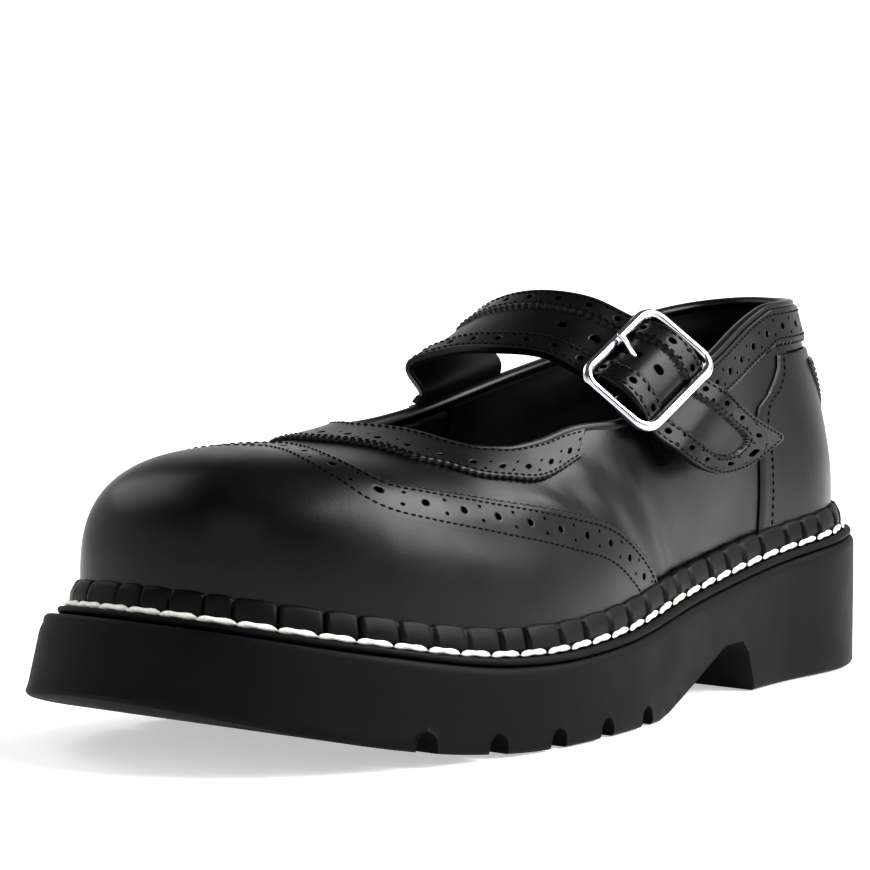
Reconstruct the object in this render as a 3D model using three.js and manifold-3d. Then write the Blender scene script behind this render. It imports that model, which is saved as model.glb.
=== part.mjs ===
// A left brogue shoe with a wing toe cap, a buckled instep strap and a lugged platform sole.
// Millimetres, +Z up. The toe points along -Y, the heel along +Y, and the outer (buckle) side is +X.
// Along the shoe, places are given as "ahead": the distance in front of the heel's back edge.
import * as THREE from "three";
import { mergeVertices } from "three/addons/utils/BufferGeometryUtils.js";
import Module from "manifold-3d";

const wasm = await Module();
wasm.setup();

// ---------------------------------------------------------------- driving dimensions
const SOLE_LENGTH = 300;
const SOLE_WIDTH = 113;
const HEEL_HEIGHT = 38.5; // ground to the sole's top edge, at the heel
const FOREPART_HEIGHT = 22.5; // the same, under the ball of the foot
const TOE_SPRING = 15; // rise of the sole's top edge from the ball to the toe
const SOLE_FLARE = 5; // how far the toe's foot stands out past its top edge
const HEEL_BREAST_RISE = 15; // height of the arch gap in front of the heel
const LUG_DEPTH = 5.5;
const LUG_WIDTH = 6.5;
const GAP = 0.3; // clearance between pieces that touch

const WELT_THICK = 2.1;
const WELT_EDGE = 0.9; // ledge of bare sole outside the welt
const WELT_WIDTH = 11;
const THREAD = 1.7; // welt thread's diameter
const THREAD_IN = 3.9; // welt thread, in from the sole's edge
const UPPER_IN = 7.9; // the upper's foot, in from the sole's edge
const TOE_SETBACK = 3.1; // extra inset of thread and upper round the toe
const RAND_HEIGHT = 9.3; // top of the rand, over the sole's top edge
const RAND_THICK = 1.6;

const LEATHER = 1.3; // one thickness of upper leather
const LINING = 1.1;
const STIFFENER = 1;
const BINDING = 2.7; // diameter of the rolled topline binding
const INSOLE_THICK = 2.4;
const SOCK_THICK = 2.2;

const STRAP_WIDTH = 29;
const STRAP_THICK = 1.4;
const STRAP_LINING = 0.9;
const HOLE_PITCH = 10.5;
const HOLE_WIDTH = 3;
const BUCKLE_ACROSS = 36; // between wire centres, across the strap
const BUCKLE_ALONG = 24; // between wire centres, along the strap
const BUCKLE_CORNER = 5;
const WIRE = 3;
const CENTRE_BAR = 2.4;
const BAR_DROP = 1.8; // the centre bar lies this much under the frame
const PRONG = 2;

// ---------------------------------------------------------------- small mathematics
const lerp = THREE.MathUtils.lerp;
const clamp = THREE.MathUtils.clamp;

/** Smooth curve y(x) through a few knots [x, y], flat-ended outside them. */
function smooth(knots, x) {
  const last = knots.length - 1;
  const at = clamp(x, knots[0][0], knots[last][0]);
  let i = 0;
  while (i < last - 1 && at > knots[i + 1][0]) i += 1;
  const slope = (k) => {
    const a = Math.max(k - 1, 0);
    const b = Math.min(k + 1, last);
    return (knots[b][1] - knots[a][1]) / (knots[b][0] - knots[a][0]);
  };
  const h = knots[i + 1][0] - knots[i][0];
  const t = (at - knots[i][0]) / h;
  const blend = 3 * t ** 2 - 2 * t ** 3;
  const rise = (1 - blend) * knots[i][1] + blend * knots[i + 1][1];
  const bend = (t ** 3 - 2 * t ** 2 + t) * slope(i) + (t ** 3 - t ** 2) * slope(i + 1);
  return rise + h * bend;
}

/** Closed smooth loop through the points, sampled n times. */
function loopThrough(points, n) {
  const curve = new THREE.CatmullRomCurve3(points.map(([x, y]) => new THREE.Vector3(x, y, 0)), true);
  curve.curveType = "catmullrom";
  curve.tension = 0.5;
  return Array.from({ length: n }, (_, i) => curve.getPoint(i / n)).map((p) => [p.x, p.y]);
}

/** The loop moved inwards by distance(ahead). */
function inset(loop, distance) {
  return loop.map(([x, a], i) => {
    const p = loop[(i + loop.length - 1) % loop.length];
    const q = loop[(i + 1) % loop.length];
    const run = Math.hypot(q[0] - p[0], q[1] - p[1]);
    const d = distance(a);
    return [x - ((q[1] - p[1]) / run) * d, a + ((q[0] - p[0]) / run) * d];
  });
}

// ---------------------------------------------------------------- the sole's outline and levels
// the top edge as shares of width and length: heel, outer side, toe, inner side
const EDGE_SHAPE = [
  [-0.018, 0], [0.212, 0.027], [0.336, 0.103], [0.358, 0.233], [0.425, 0.393], [0.522, 0.56],
  [0.54, 0.707], [0.451, 0.857], [0.239, 0.967], [-0.071, 1], [-0.363, 0.963], [-0.46, 0.84],
  [-0.438, 0.687], [-0.363, 0.517], [-0.31, 0.367], [-0.332, 0.2], [-0.336, 0.09], [-0.221, 0.017],
];
const EDGE = loopThrough(EDGE_SHAPE.map(([x, a]) => [x * SOLE_WIDTH, a * SOLE_LENGTH]), 720);
const DROP = HEEL_HEIGHT - FOREPART_HEIGHT;
const TOP_KNOTS = [
  [0, HEEL_HEIGHT],
  [0.08 * SOLE_LENGTH, HEEL_HEIGHT - 0.02 * DROP],
  [0.23 * SOLE_LENGTH, FOREPART_HEIGHT + 0.72 * DROP],
  [0.4 * SOLE_LENGTH, FOREPART_HEIGHT + 0.38 * DROP],
  [0.57 * SOLE_LENGTH, FOREPART_HEIGHT + 0.02 * DROP],
  [0.73 * SOLE_LENGTH, FOREPART_HEIGHT],
  [0.88 * SOLE_LENGTH, FOREPART_HEIGHT + 0.47 * TOE_SPRING],
  [SOLE_LENGTH, FOREPART_HEIGHT + TOE_SPRING],
];
const soleTop = (a) => smooth(TOP_KNOTS, a);
const SPRING_FROM = 0.67 * SOLE_LENGTH;
const GROUND_RISE = TOE_SPRING + 1;
const soleFoot = (a) => GROUND_RISE * (Math.max(a - SPRING_FROM, 0) / (SOLE_LENGTH - SPRING_FROM)) ** 2;
const toeShare = (a) => clamp((a / SOLE_LENGTH - 0.667) / 0.333, 0, 1);
const toeward = (d) => (a) => d + TOE_SETBACK * toeShare(a);

// ---------------------------------------------------------------- the upper's surface
// The walk "s" runs round the shoe: 0 heel centre, 1-2 outer side, 3 toe centre, 4-5 inner side, 6 heel.
// "t" climbs a section: 0 at the rand's top, 1 on the ridge over the foot; below 0 it drops straight.
const ROOT_UNDER = 6.2; // how far the upper reaches down behind the rand
const HEEL_POLE = 0.147 * SOLE_LENGTH;
const TOE_POLE = 0.82 * SOLE_LENGTH;
const RIDGE_OVER_SOLE = [
  [0, 102], [44, 104.5], [70, 106], [100, 99], [141, 80], [172, 67.5],
  [196, 61], [208, 58], [225, 54.3], [246, 49.3], [300, 36],
].map(([a, h]) => [(a / 300) * SOLE_LENGTH, h]);
const FULLNESS = [[0, 2.3], [100, 2.3], [141, 2.2], [172, 2.15], [208, 2.3], [246, 3.1], [300, 3.1]]
  .map(([a, n]) => [(a / 300) * SOLE_LENGTH, n]);
const ridgeSide = (a) => (-4 / 113) * SOLE_WIDTH * clamp(a / TOE_POLE, 0, 1) ** 2;
const FEATHER = inset(EDGE, toeward(UPPER_IN));

function sideReach(a, side) {
  let best = 0;
  FEATHER.forEach((p, i) => {
    const q = FEATHER[(i + 1) % FEATHER.length];
    const spans = (p[1] - a) * (q[1] - a) <= 0 && p[1] !== q[1];
    if (spans) {
      const x = lerp(p[0], q[0], (a - p[1]) / (q[1] - p[1]));
      best = Math.max(best, side * (x - ridgeSide(a)));
    }
  });
  return best;
}

function fanReach(pole, dx, da) {
  let best = 0;
  FEATHER.forEach((p, i) => {
    const q = FEATHER[(i + 1) % FEATHER.length];
    const u = [p[0] - pole[0], p[1] - pole[1]];
    const v = [q[0] - pole[0], q[1] - pole[1]];
    const cu = u[0] * da - u[1] * dx;
    const cv = v[0] * da - v[1] * dx;
    if (cu * cv <= 0 && cu !== cv) {
      const w = cu / (cu - cv);
      best = Math.max(best, lerp(u[0], v[0], w) * dx + lerp(u[1], v[1], w) * da);
    }
  });
  return best;
}

/** Where a station of the walk starts (x, ahead), its direction outwards and its reach. */
const stationCache = new Map();
function station(walk) {
  const s = (walk + 6) % 6;
  const key = s.toFixed(6);
  if (stationCache.has(key)) return stationCache.get(key);
  const half = s <= 3 ? s : 6 - s;
  const side = s <= 3 ? 1 : -1;
  let found;
  if (half >= 1 && half <= 2) {
    const a = lerp(HEEL_POLE, TOE_POLE, half - 1);
    found = { x: ridgeSide(a), a, dx: side, da: 0, reach: sideReach(a, side) };
  } else {
    const toe = half > 2;
    const a = toe ? TOE_POLE : HEEL_POLE;
    const turn = ((toe ? 3 - half : half) * Math.PI) / 2;
    const dx = side * Math.sin(turn);
    const da = Math.cos(turn) * (toe ? 1 : -1);
    found = { x: ridgeSide(a), a, dx, da, reach: fanReach([ridgeSide(a), a], dx, da) };
  }
  stationCache.set(key, found);
  return found;
}

const toStation = (a) => 1 + (a - HEEL_POLE) / (TOE_POLE - HEEL_POLE);
const aheadPoint = (x, a, z) => new THREE.Vector3(x, SOLE_LENGTH / 2 - a, z);

function upperPoint(s, t) {
  const { x, a, dx, da, reach } = station(s);
  const n = smooth(FULLNESS, a);
  const angle = (clamp(t, 0, 1) * Math.PI) / 2;
  const out = reach * Math.cos(angle) ** (2 / n);
  const climb = Math.sin(angle) ** (2 / n);
  const foot = soleTop(a + da * reach) + RAND_HEIGHT;
  const top = soleTop(a) + smooth(RIDGE_OVER_SOLE, a);
  const z = lerp(foot, top, climb) + Math.min(t, 0) * 100;
  return aheadPoint(x + dx * out, a + da * out, z);
}

/** Outward normal by differences; on the ridge itself it follows the ridge line. */
function upperNormal(s, t) {
  if (t > 0.985) {
    const { a } = station(s);
    const step = 2;
    const rise = (b) => soleTop(b) + smooth(RIDGE_OVER_SOLE, b);
    const slope = (rise(a + step) - rise(a - step)) / (2 * step);
    return new THREE.Vector3(0, slope, 1).normalize();
  }
  const ds = 0.004;
  const dt = 0.004;
  const along = upperPoint(s + ds, t).sub(upperPoint(s - ds, t));
  const up = upperPoint(s, t + dt).sub(upperPoint(s, t - dt));
  return along.cross(up).negate().normalize();
}

const upperAt = (s, t, off) => upperPoint(s, t).addScaledVector(upperNormal(s, t), off);

// topline: t at a place ahead, on the outer and the inner side
const THROAT = 0.693 * SOLE_LENGTH;
const share = (knots) => knots.map(([a, t]) => [(a / 300) * SOLE_LENGTH, t]);
const TOPLINE_OUT = share([
  [44, 0.41], [70, 0.365], [100, 0.35], [125, 0.36], [145, 0.42], [163, 0.515], [178, 0.55],
  [192, 0.6], [203, 0.72], [208, 1],
]);
const TOPLINE_IN = share([
  [44, 0.37], [70, 0.345], [100, 0.35], [141, 0.455], [172, 0.58], [192, 0.69], [203, 0.82], [208, 1],
]);
const HEEL_TOPLINE = 0.405;
function topline(walk) {
  const s = (walk + 6) % 6;
  const half = s <= 3 ? s : 6 - s;
  const knots = s <= 3 ? TOPLINE_OUT : TOPLINE_IN;
  if (half < 1) return lerp(HEEL_TOPLINE, knots[0][1], half * half * (3 - 2 * half));
  return smooth(knots, lerp(HEEL_POLE, TOE_POLE, half - 1));
}
/** The furthest-back place ahead at which the side reaches height t. */
function toplineAhead(t, side) {
  const knots = side > 0 ? TOPLINE_OUT : TOPLINE_IN;
  let low = 0.33 * SOLE_LENGTH;
  let high = THROAT;
  for (let i = 0; i < 30; i += 1) {
    const mid = (low + high) / 2;
    if (smooth(knots, mid) < t) low = mid;
    else high = mid;
  }
  return high;
}

// ---------------------------------------------------------------- solids from grids of points
/** Turns rows of points and faces into one welded closed geometry. */
function weld(points, faces) {
  const flat = new Float32Array(faces.length * 9);
  faces.forEach((face, i) => face.forEach((k, j) => points[k].toArray(flat, i * 9 + j * 3)));
  const soup = new THREE.BufferGeometry();
  soup.setAttribute("position", new THREE.BufferAttribute(flat, 3));
  const merged = mergeVertices(soup, 2e-3);
  const index = Array.from(merged.index.array);
  const kept = [];
  for (let i = 0; i < index.length; i += 3) {
    const [a, b, c] = index.slice(i, i + 3);
    if (a !== b && b !== c && a !== c) kept.push(a, b, c);
  }
  merged.setIndex(kept);
  return merged;
}

/** A sheet with thickness: outer and inner grids of (u, v), walled round its open borders. */
function sheetSolid(outer, inner, openEnd = true) {
  const rows = outer.length;
  const cols = outer[0].length;
  const points = [...outer.flat(), ...inner.flat()];
  const at = (i, j) => i * cols + j;
  const under = rows * cols;
  const faces = [];
  const quad = (a, b, c, d) => faces.push([a, b, c], [a, c, d]);
  for (let i = 0; i < rows - 1; i += 1) {
    for (let j = 0; j < cols - 1; j += 1) {
      quad(at(i, j), at(i + 1, j), at(i + 1, j + 1), at(i, j + 1));
      quad(under + at(i, j), under + at(i, j + 1), under + at(i + 1, j + 1), under + at(i + 1, j));
    }
  }
  for (let i = 0; i < rows - 1; i += 1) {
    quad(at(i, 0), under + at(i, 0), under + at(i + 1, 0), at(i + 1, 0));
    if (openEnd) {
      const e = cols - 1;
      quad(at(i, e), at(i + 1, e), under + at(i + 1, e), under + at(i, e));
    }
  }
  for (let j = 0; j < cols - 1; j += 1) {
    const e = rows - 1;
    quad(at(0, j), at(0, j + 1), under + at(0, j + 1), under + at(0, j));
    quad(at(e, j), under + at(e, j), under + at(e, j + 1), at(e, j + 1));
  }
  return weld(points, faces);
}

/** A closed section carried round a closed path; rings[i] is one section's points. */
function ringSolid(rings, closed = true) {
  const n = rings.length;
  const m = rings[0].length;
  const faces = [];
  const spans = closed ? n : n - 1;
  for (let i = 0; i < spans; i += 1) {
    for (let j = 0; j < m; j += 1) {
      const a = i * m + j;
      const b = i * m + ((j + 1) % m);
      const c = ((i + 1) % n) * m + ((j + 1) % m);
      const d = ((i + 1) % n) * m + j;
      faces.push([a, b, c], [a, c, d]);
    }
  }
  if (!closed) {
    for (let j = 1; j < m - 1; j += 1) {
      faces.push([0, j + 1, j]);
      faces.push([(n - 1) * m, (n - 1) * m + j, (n - 1) * m + j + 1]);
    }
  }
  return outwards(weld(rings.flat(), faces));
}

/** Signed volume, to turn a solid's faces out. */
function outwards(geometry) {
  const p = geometry.getAttribute("position");
  const idx = Array.from(geometry.index.array);
  const corner = (k) => new THREE.Vector3().fromBufferAttribute(p, idx[k]);
  let volume = 0;
  for (let i = 0; i < idx.length; i += 3) {
    volume += corner(i).dot(corner(i + 1).cross(corner(i + 2)));
  }
  if (volume < 0) {
    for (let i = 0; i < idx.length; i += 3) [idx[i], idx[i + 1]] = [idx[i + 1], idx[i]];
    geometry.setIndex(idx);
  }
  return geometry;
}

const range = (n, from = 0, to = 1) => Array.from({ length: n + 1 }, (_, i) => lerp(from, to, i / n));

/** Panel of the upper: rows climb, columns walk; place(u, v) gives [s, t]. */
function panel({ columns, rows, place, low, high, openEnd = true }) {
  const grid = (off) =>
    range(rows).map((v) => range(columns).map((u) => upperAt(...place(u, v), off)));
  return outwards(sheetSolid(grid(high), grid(low), openEnd));
}

/** Flat layer between two outlines, its foot and top following levels along the shoe. */
function slab({ footLoop, topLoop, footZ, topZ, steps = 36 }) {
  const chain = (loop) => {
    const lowest = loop.reduce((m, p, i) => (p[1] < loop[m][1] ? i : m), 0);
    const highest = loop.reduce((m, p, i) => (p[1] > loop[m][1] ? i : m), 0);
    const walk = (from, to, step) => {
      const list = [];
      for (let i = from; ; i = (i + step + loop.length) % loop.length) {
        list.push(loop[i]);
        if (i === to) return list;
      }
    };
    return [walk(lowest, highest, 1), walk(lowest, highest, -1)];
  };
  const xAt = (list, a) => {
    const i = Math.max(1, list.findIndex((p) => p[1] >= a));
    const [p, q] = [list[i - 1], list[i]];
    return lerp(p[0], q[0], clamp((a - p[1]) / Math.max(q[1] - p[1], 1e-9), 0, 1));
  };
  const side = (loop, z) => {
    const [out, inn] = chain(loop);
    const [back, front] = [out[0][1], out[out.length - 1][1]];
    return range(steps).map((u) => {
      const a = lerp(back, front, (1 - Math.cos(Math.PI * u)) / 2);
      return [aheadPoint(xAt(out, a), a, z(a)), aheadPoint(xAt(inn, a), a, z(a))];
    });
  };
  const foot = side(footLoop, footZ);
  const top = side(topLoop, topZ);
  const points = [...foot.flat(), ...top.flat()];
  const base = foot.length * 2;
  const faces = [];
  for (let i = 0; i < steps; i += 1) {
    const [a, b, c, d] = [2 * i, 2 * i + 1, 2 * i + 3, 2 * i + 2];
    faces.push([a, b, c], [a, c, d]);
    faces.push([base + a, base + c, base + b], [base + a, base + d, base + c]);
    faces.push([a, d, base + d], [a, base + d, base + a]);
    faces.push([b, base + b, base + c], [b, base + c, c]);
  }
  return outwards(weld(points, faces));
}

/** Ring that follows the sole's edge; section lists [in from edge, height over the sole's top]. */
function edgeRing(section, steps) {
  const loops = section.map(([d]) => inset(EDGE, toeward(d)));
  const rings = range(steps - 1).map((u) => {
    const i = Math.round(u * (steps - 1) * (EDGE.length / steps)) % EDGE.length;
    return section.map(([, h], k) => aheadPoint(...loops[k][i], soleTop(loops[k][i][1]) + h));
  });
  return ringSolid(rings);
}

/** Round bar through points; each point may carry its own width. */
function roundBar(points, width, sides = 8, closed = false) {
  const n = points.length;
  let side = null;
  const rings = points.map((p, i) => {
    const ahead = points[closed ? (i + 1) % n : Math.min(i + 1, n - 1)];
    const behind = points[closed ? (i + n - 1) % n : Math.max(i - 1, 0)];
    const run = ahead.clone().sub(behind).normalize();
    side ??= Math.abs(run.z) < 0.8 ? new THREE.Vector3(0, 0, 1) : new THREE.Vector3(1, 0, 0);
    side = side.clone().addScaledVector(run, -side.dot(run)).normalize();
    const other = run.clone().cross(side);
    return range(sides - 1).map((u) => {
      const turn = (u * (sides - 1) * 2 * Math.PI) / sides;
      return p.clone()
        .addScaledVector(side, (Math.cos(turn) * width) / 2)
        .addScaledVector(other, (Math.sin(turn) * width) / 2);
    });
  });
  return ringSolid(rings, closed);
}

const toManifold = (geometry) => {
  const lean = geometry.clone();
  lean.deleteAttribute("normal");
  lean.deleteAttribute("uv");
  const merged = mergeVertices(lean, 1e-4);
  return new wasm.Manifold(new wasm.Mesh({
    numProp: 3,
    vertProperties: new Float32Array(merged.getAttribute("position").array),
    triVerts: new Uint32Array(merged.index.array),
  }));
};

function fromManifold(body) {
  const mesh = body.getMesh();
  const result = new THREE.BufferGeometry();
  result.setAttribute("position", new THREE.BufferAttribute(new Float32Array(mesh.vertProperties), 3));
  result.setIndex(Array.from(mesh.triVerts));
  return result;
}

function cut(geometry, tools) {
  let body = toManifold(geometry);
  for (const tool of tools) body = body.subtract(toManifold(tool));
  return fromManifold(body);
}

// ---------------------------------------------------------------- the assembly
const shoe = new THREE.Group();

function add(name, geometry, colour, roughness, metalness = 0) {
  const material = new THREE.MeshStandardMaterial({ color: colour, roughness, metalness });
  const mesh = new THREE.Mesh(geometry, material);
  mesh.name = name;
  shoe.add(mesh);
}

const BLACK_LEATHER = 0x17171a;
const BLACK_RUBBER = 0x232326;
const LINING_LEATHER = 0x1f1d1c;
const CHROME = 0xd8dadd;

// ---- outsole: flared wall, toe spring, arch gap and transverse lugs
const BREAST = 0.285 * SOLE_LENGTH; // where the arch gap meets the heel
const ARCH_FRONT = 0.5 * SOLE_LENGTH; // where the forepart leaves the ground
const LUGS_AT = [0.835, 0.755, 0.68, 0.605, 0.53].map((p) => p * SOLE_LENGTH);

/** A tool right across the shoe; its outline is given as places ahead and heights. */
function crossCut(outline) {
  const reach = SOLE_WIDTH;
  const shape = new THREE.Shape(outline.map(([a, z]) => new THREE.Vector2(a, z)));
  const tool = new THREE.ExtrudeGeometry(shape, { depth: 2 * reach, bevelEnabled: false });
  tool.applyMatrix4(new THREE.Matrix4()
    .makeBasis(new THREE.Vector3(0, -1, 0), new THREE.Vector3(0, 0, 1), new THREE.Vector3(1, 0, 0))
    .setPosition(-reach, SOLE_LENGTH / 2, 0));
  return outwards(mergeVertices(strip(tool), 1e-4));
}

function strip(geometry) {
  geometry.deleteAttribute("normal");
  geometry.deleteAttribute("uv");
  return geometry;
}

function archGap() {
  const step = 0.013 * SOLE_LENGTH;
  return crossCut([
    [BREAST, -2],
    [BREAST, 0],
    [BREAST + step, HEEL_BREAST_RISE * 0.75],
    [BREAST + 2 * step, HEEL_BREAST_RISE],
    [BREAST + 5 * step, HEEL_BREAST_RISE],
    [lerp(BREAST, ARCH_FRONT, 0.62), HEEL_BREAST_RISE * 0.5],
    [ARCH_FRONT, 0],
    [ARCH_FRONT, -2],
  ]);
}

function lugSlot(at) {
  const half = LUG_WIDTH / 2;
  const base = soleFoot(at);
  const slope = (soleFoot(at + half) - soleFoot(at - half)) / LUG_WIDTH;
  const arc = range(4, 0, Math.PI).map((w) => [
    at + half * Math.cos(w),
    base + slope * half * Math.cos(w) + (LUG_DEPTH - half) + half * Math.sin(w),
  ]);
  return crossCut([[at - half, -3], [at + half, -3], ...arc]);
}

function outsole() {
  const flare = (a) => -0.3 - SOLE_FLARE * clamp((a / SOLE_LENGTH - 0.767) / 0.233, 0, 1);
  const block = slab({
    footLoop: inset(EDGE, flare), topLoop: EDGE, footZ: soleFoot, topZ: soleTop, steps: 44,
  });
  return cut(block, [archGap(), ...LUGS_AT.map(lugSlot)]);
}
add("outsole", outsole(), BLACK_RUBBER, 0.7);

// ---- welt, its thread and the rolled rand
const WELT_TOP = GAP + WELT_THICK;
const EDGE_STEPS = 72;
add("welt", edgeRing([
  [WELT_EDGE, GAP], [WELT_EDGE + WELT_WIDTH, GAP],
  [WELT_EDGE + WELT_WIDTH, WELT_TOP], [WELT_EDGE, WELT_TOP],
], EDGE_STEPS), BLACK_RUBBER, 0.6);

const THREAD_SIDES = 6;
const threadLift = WELT_TOP + GAP + THREAD / 2;
add("welt_thread", edgeRing(range(THREAD_SIDES - 1).map((u) => {
  const turn = (u * (THREAD_SIDES - 1) * 2 * Math.PI) / THREAD_SIDES;
  return [THREAD_IN + (Math.cos(turn) * THREAD) / 2, threadLift + (Math.sin(turn) * THREAD) / 2];
}), EDGE_STEPS), 0xf2f0ea, 0.6);

const RAND_FOOT = THREAD_IN + THREAD / 2 + GAP;
const RAND_BACK = UPPER_IN - 2 * GAP;
const RAND_TOP = RAND_HEIGHT - 2 * GAP;
add("rand", edgeRing([
  [RAND_FOOT, WELT_TOP + GAP],
  [RAND_BACK, WELT_TOP + GAP],
  [RAND_BACK, RAND_TOP],
  [RAND_BACK - RAND_THICK, RAND_TOP],
], EDGE_STEPS), BLACK_LEATHER, 0.5);

// ---- inside the sole: filler, shank, insole board and sock
const CAVITY_IN = WELT_EDGE + WELT_WIDTH + GAP;
const over = (h) => (a) => soleTop(a) + h;
const shellIn = LEATHER + LINING + STIFFENER + 5 * GAP;
const INSIDE = toeward(UPPER_IN + shellIn);
const cavityLoop = inset(EDGE, toeward(CAVITY_IN));
const SHANK_BACK = 0.2 * SOLE_LENGTH;
const SHANK_FRONT = 0.58 * SOLE_LENGTH;
const SHANK_WIDTH = 14;
const SHANK_THICK = 1.2;

function bar(x0, x1, back, front, footZ, topZ, steps) {
  const rows = range(steps).map((u) => {
    const a = lerp(back, front, u);
    const corners = [[x0, footZ(a)], [x1, footZ(a)], [x1, topZ(a)], [x0, topZ(a)]];
    return corners.map(([x, z]) => aheadPoint(x, a, z));
  });
  return ringSolid(rows, false);
}
add("steel_shank", bar(-SHANK_WIDTH / 2, SHANK_WIDTH / 2, SHANK_BACK, SHANK_FRONT,
  over(GAP), over(GAP + SHANK_THICK), 10), 0x8d9196, 0.35, 0.9);

const fillerLoop = cavityLoop.filter(([, a]) => a > SHANK_FRONT + 2);
add("cork_filler", slab({
  footLoop: fillerLoop, topLoop: fillerLoop, footZ: over(GAP), topZ: over(WELT_TOP), steps: 20,
}), 0x9a7448, 0.9);

const boardLoop = inset(EDGE, INSIDE);
const BOARD_FOOT = WELT_TOP + GAP;
const BOARD_TOP = BOARD_FOOT + INSOLE_THICK;
add("insole_board", slab({
  footLoop: boardLoop, topLoop: boardLoop, footZ: over(BOARD_FOOT), topZ: over(BOARD_TOP),
}), 0x8a6a48, 0.9);
const sockLoop = inset(EDGE, (a) => INSIDE(a) + 0.5);
const SOCK_FOOT = BOARD_TOP + GAP;
add("sock_liner", slab({
  footLoop: sockLoop, topLoop: sockLoop, footZ: over(SOCK_FOOT), topZ: over(SOCK_FOOT + SOCK_THICK),
}), LINING_LEATHER, 0.7);

// ---- upper, from the inside out: lining, stiffeners, leather, overlays
const PLY_GAP = 0.4; // between plies of the upper
const STIFF_HIGH = -(LEATHER + PLY_GAP);
const STIFF_LOW = STIFF_HIGH - STIFFENER;
const LINING_HIGH = STIFF_LOW - PLY_GAP;
const LINING_LOW = LINING_HIGH - LINING;
const OVER_LOW = PLY_GAP;
const OVER_HIGH = PLY_GAP + LEATHER;
const ROOT = -ROOT_UNDER / 100;
const JOIN = 0.003; // half the gap between neighbouring panels, in steps of the walk

const mirrorWalk = (s) => 6 - s;
const scaled = (knots) => knots.map(([t, a]) => [t, (a / 300) * SOLE_LENGTH]);
// the wing cap's back edge: place ahead for a height t
const WING = scaled([
  [-0.07, 133], [0, 138], [0.1, 150], [0.22, 166], [0.31, 184], [0.385, 200], [0.44, 214],
  [0.49, 228], [0.55, 240], [0.66, 245], [0.8, 245], [0.92, 240], [1, 236],
]);
const wingStation = (t) => toStation(smooth(WING, t));
const COUNTER = scaled([
  [-0.07, 72], [0.1, 68], [0.17, 67], [0.205, 63], [0.225, 56], [0.27, 47], [0.3, 44.2],
]);
const counterStation = (t) => toStation(smooth(COUNTER, t));

/** A panel that crosses the ridge: v runs from the outer foot over the top to the inner foot. */
function archPanel({ columns, rows, back, front, low, high, openEnd = true, foot = ROOT }) {
  return panel({
    columns, rows: 2 * rows, low, high, openEnd,
    place: (u, v) => {
      const outer = v <= 0.5;
      const w = outer ? 2 * v : 2 - 2 * v;
      const t = lerp(foot, 1, w);
      const side = outer ? 1 : -1;
      const s = lerp(back(t, side), front(t, side), u);
      return [outer ? s : mirrorWalk(s), t];
    },
  });
}

const SIDE_SEAM = 0.5 * SOLE_LENGTH; // vamp to quarter
const LAP = 0.035; // the vamp's lap under the wing cap, in steps of the walk
const CAP_ROWS = 12;

add("vamp", archPanel({
  columns: 8, rows: 13, low: -LEATHER, high: 0,
  back: (t, side) => Math.max(toStation(SIDE_SEAM), toStation(toplineAhead(t, side))),
  front: (t) => Math.min(wingStation(t) + LAP, 2),
}), BLACK_LEATHER, 0.4);

add("wing_cap", archPanel({
  columns: 18, rows: CAP_ROWS, low: OVER_LOW, high: OVER_HIGH, openEnd: false, foot: 0,
  back: (t) => wingStation(t), front: () => 3,
}), BLACK_LEATHER, 0.38);

const PUFF_BACK = 2.03;
const PUFF_FOOT = -0.02;
add("toe_puff", archPanel({
  columns: 14, rows: 9, low: STIFF_LOW, high: STIFF_HIGH, openEnd: false, foot: PUFF_FOOT,
  back: () => PUFF_BACK, front: () => 3,
}), 0xb9a98a, 0.9);

/** Side panel: from its back edge to its front edge, and from a foot up to a top. */
function sidePanel({ columns, rows, back, front, foot, top, low, high, side }) {
  return panel({
    columns, rows, low, high,
    place: (u, v) => {
      let s = front;
      for (let i = 0; i < 8; i += 1) {
        const edge = back(lerp(foot(s), top(s), v));
        s = lerp(edge, front, u);
      }
      const walk = side > 0 ? s : mirrorWalk(s);
      return [walk, lerp(foot(s), top(s), v)];
    },
  });
}
const rim = (side) => (s) => topline(side > 0 ? s : mirrorWalk(s));
const COUNTER_TOP = 0.3;
const counterEdge = (t) => (t < COUNTER_TOP ? counterStation(t) : 1) + 2 * JOIN;
for (const [name, side] of [["quarter_outer", 1], ["quarter_inner", -1]]) {
  add(name, sidePanel({
    columns: 9, rows: 10, side, low: -LEATHER, high: 0,
    back: counterEdge, front: toStation(SIDE_SEAM) - 2 * JOIN, foot: () => ROOT, top: rim(side),
  }), BLACK_LEATHER, 0.42);
}

/** Panel round the heel: u runs from the outer edge past the heel's centre to the inner edge. */
function heelPanel({ columns, rows, edge, foot, top, low, high }) {
  return panel({
    columns, rows, low, high,
    place: (u, v) => {
      let s = 0;
      let t = 0;
      for (let i = 0; i < 8; i += 1) {
        t = lerp(foot(s), top(s), v);
        s = lerp(edge(t), -edge(t), u);
      }
      return [s, t];
    },
  });
}
add("heel_counter_cover", heelPanel({
  columns: 22, rows: 8, low: -LEATHER, high: 0,
  edge: (t) => counterStation(t) - 2 * JOIN, foot: () => ROOT, top: () => COUNTER_TOP - 2 * JOIN,
}), BLACK_LEATHER, 0.42);
add("heel_tab", heelPanel({
  columns: 16, rows: 3, low: -LEATHER, high: 0,
  edge: () => 1 - 2 * JOIN, foot: () => COUNTER_TOP + 2 * JOIN, top: topline,
}), BLACK_LEATHER, 0.42);

const STRIP = [[-0.07, 0.3], [0.06, 0.3], [0.13, 0.34], [0.2, 0.5], [0.26, 0.62]];
add("backstay", heelPanel({
  columns: 12, rows: 10, low: OVER_LOW, high: OVER_HIGH,
  edge: (t) => smooth(STRIP, t), foot: () => 0, top: () => 0.27,
}), BLACK_LEATHER, 0.42);

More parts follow.
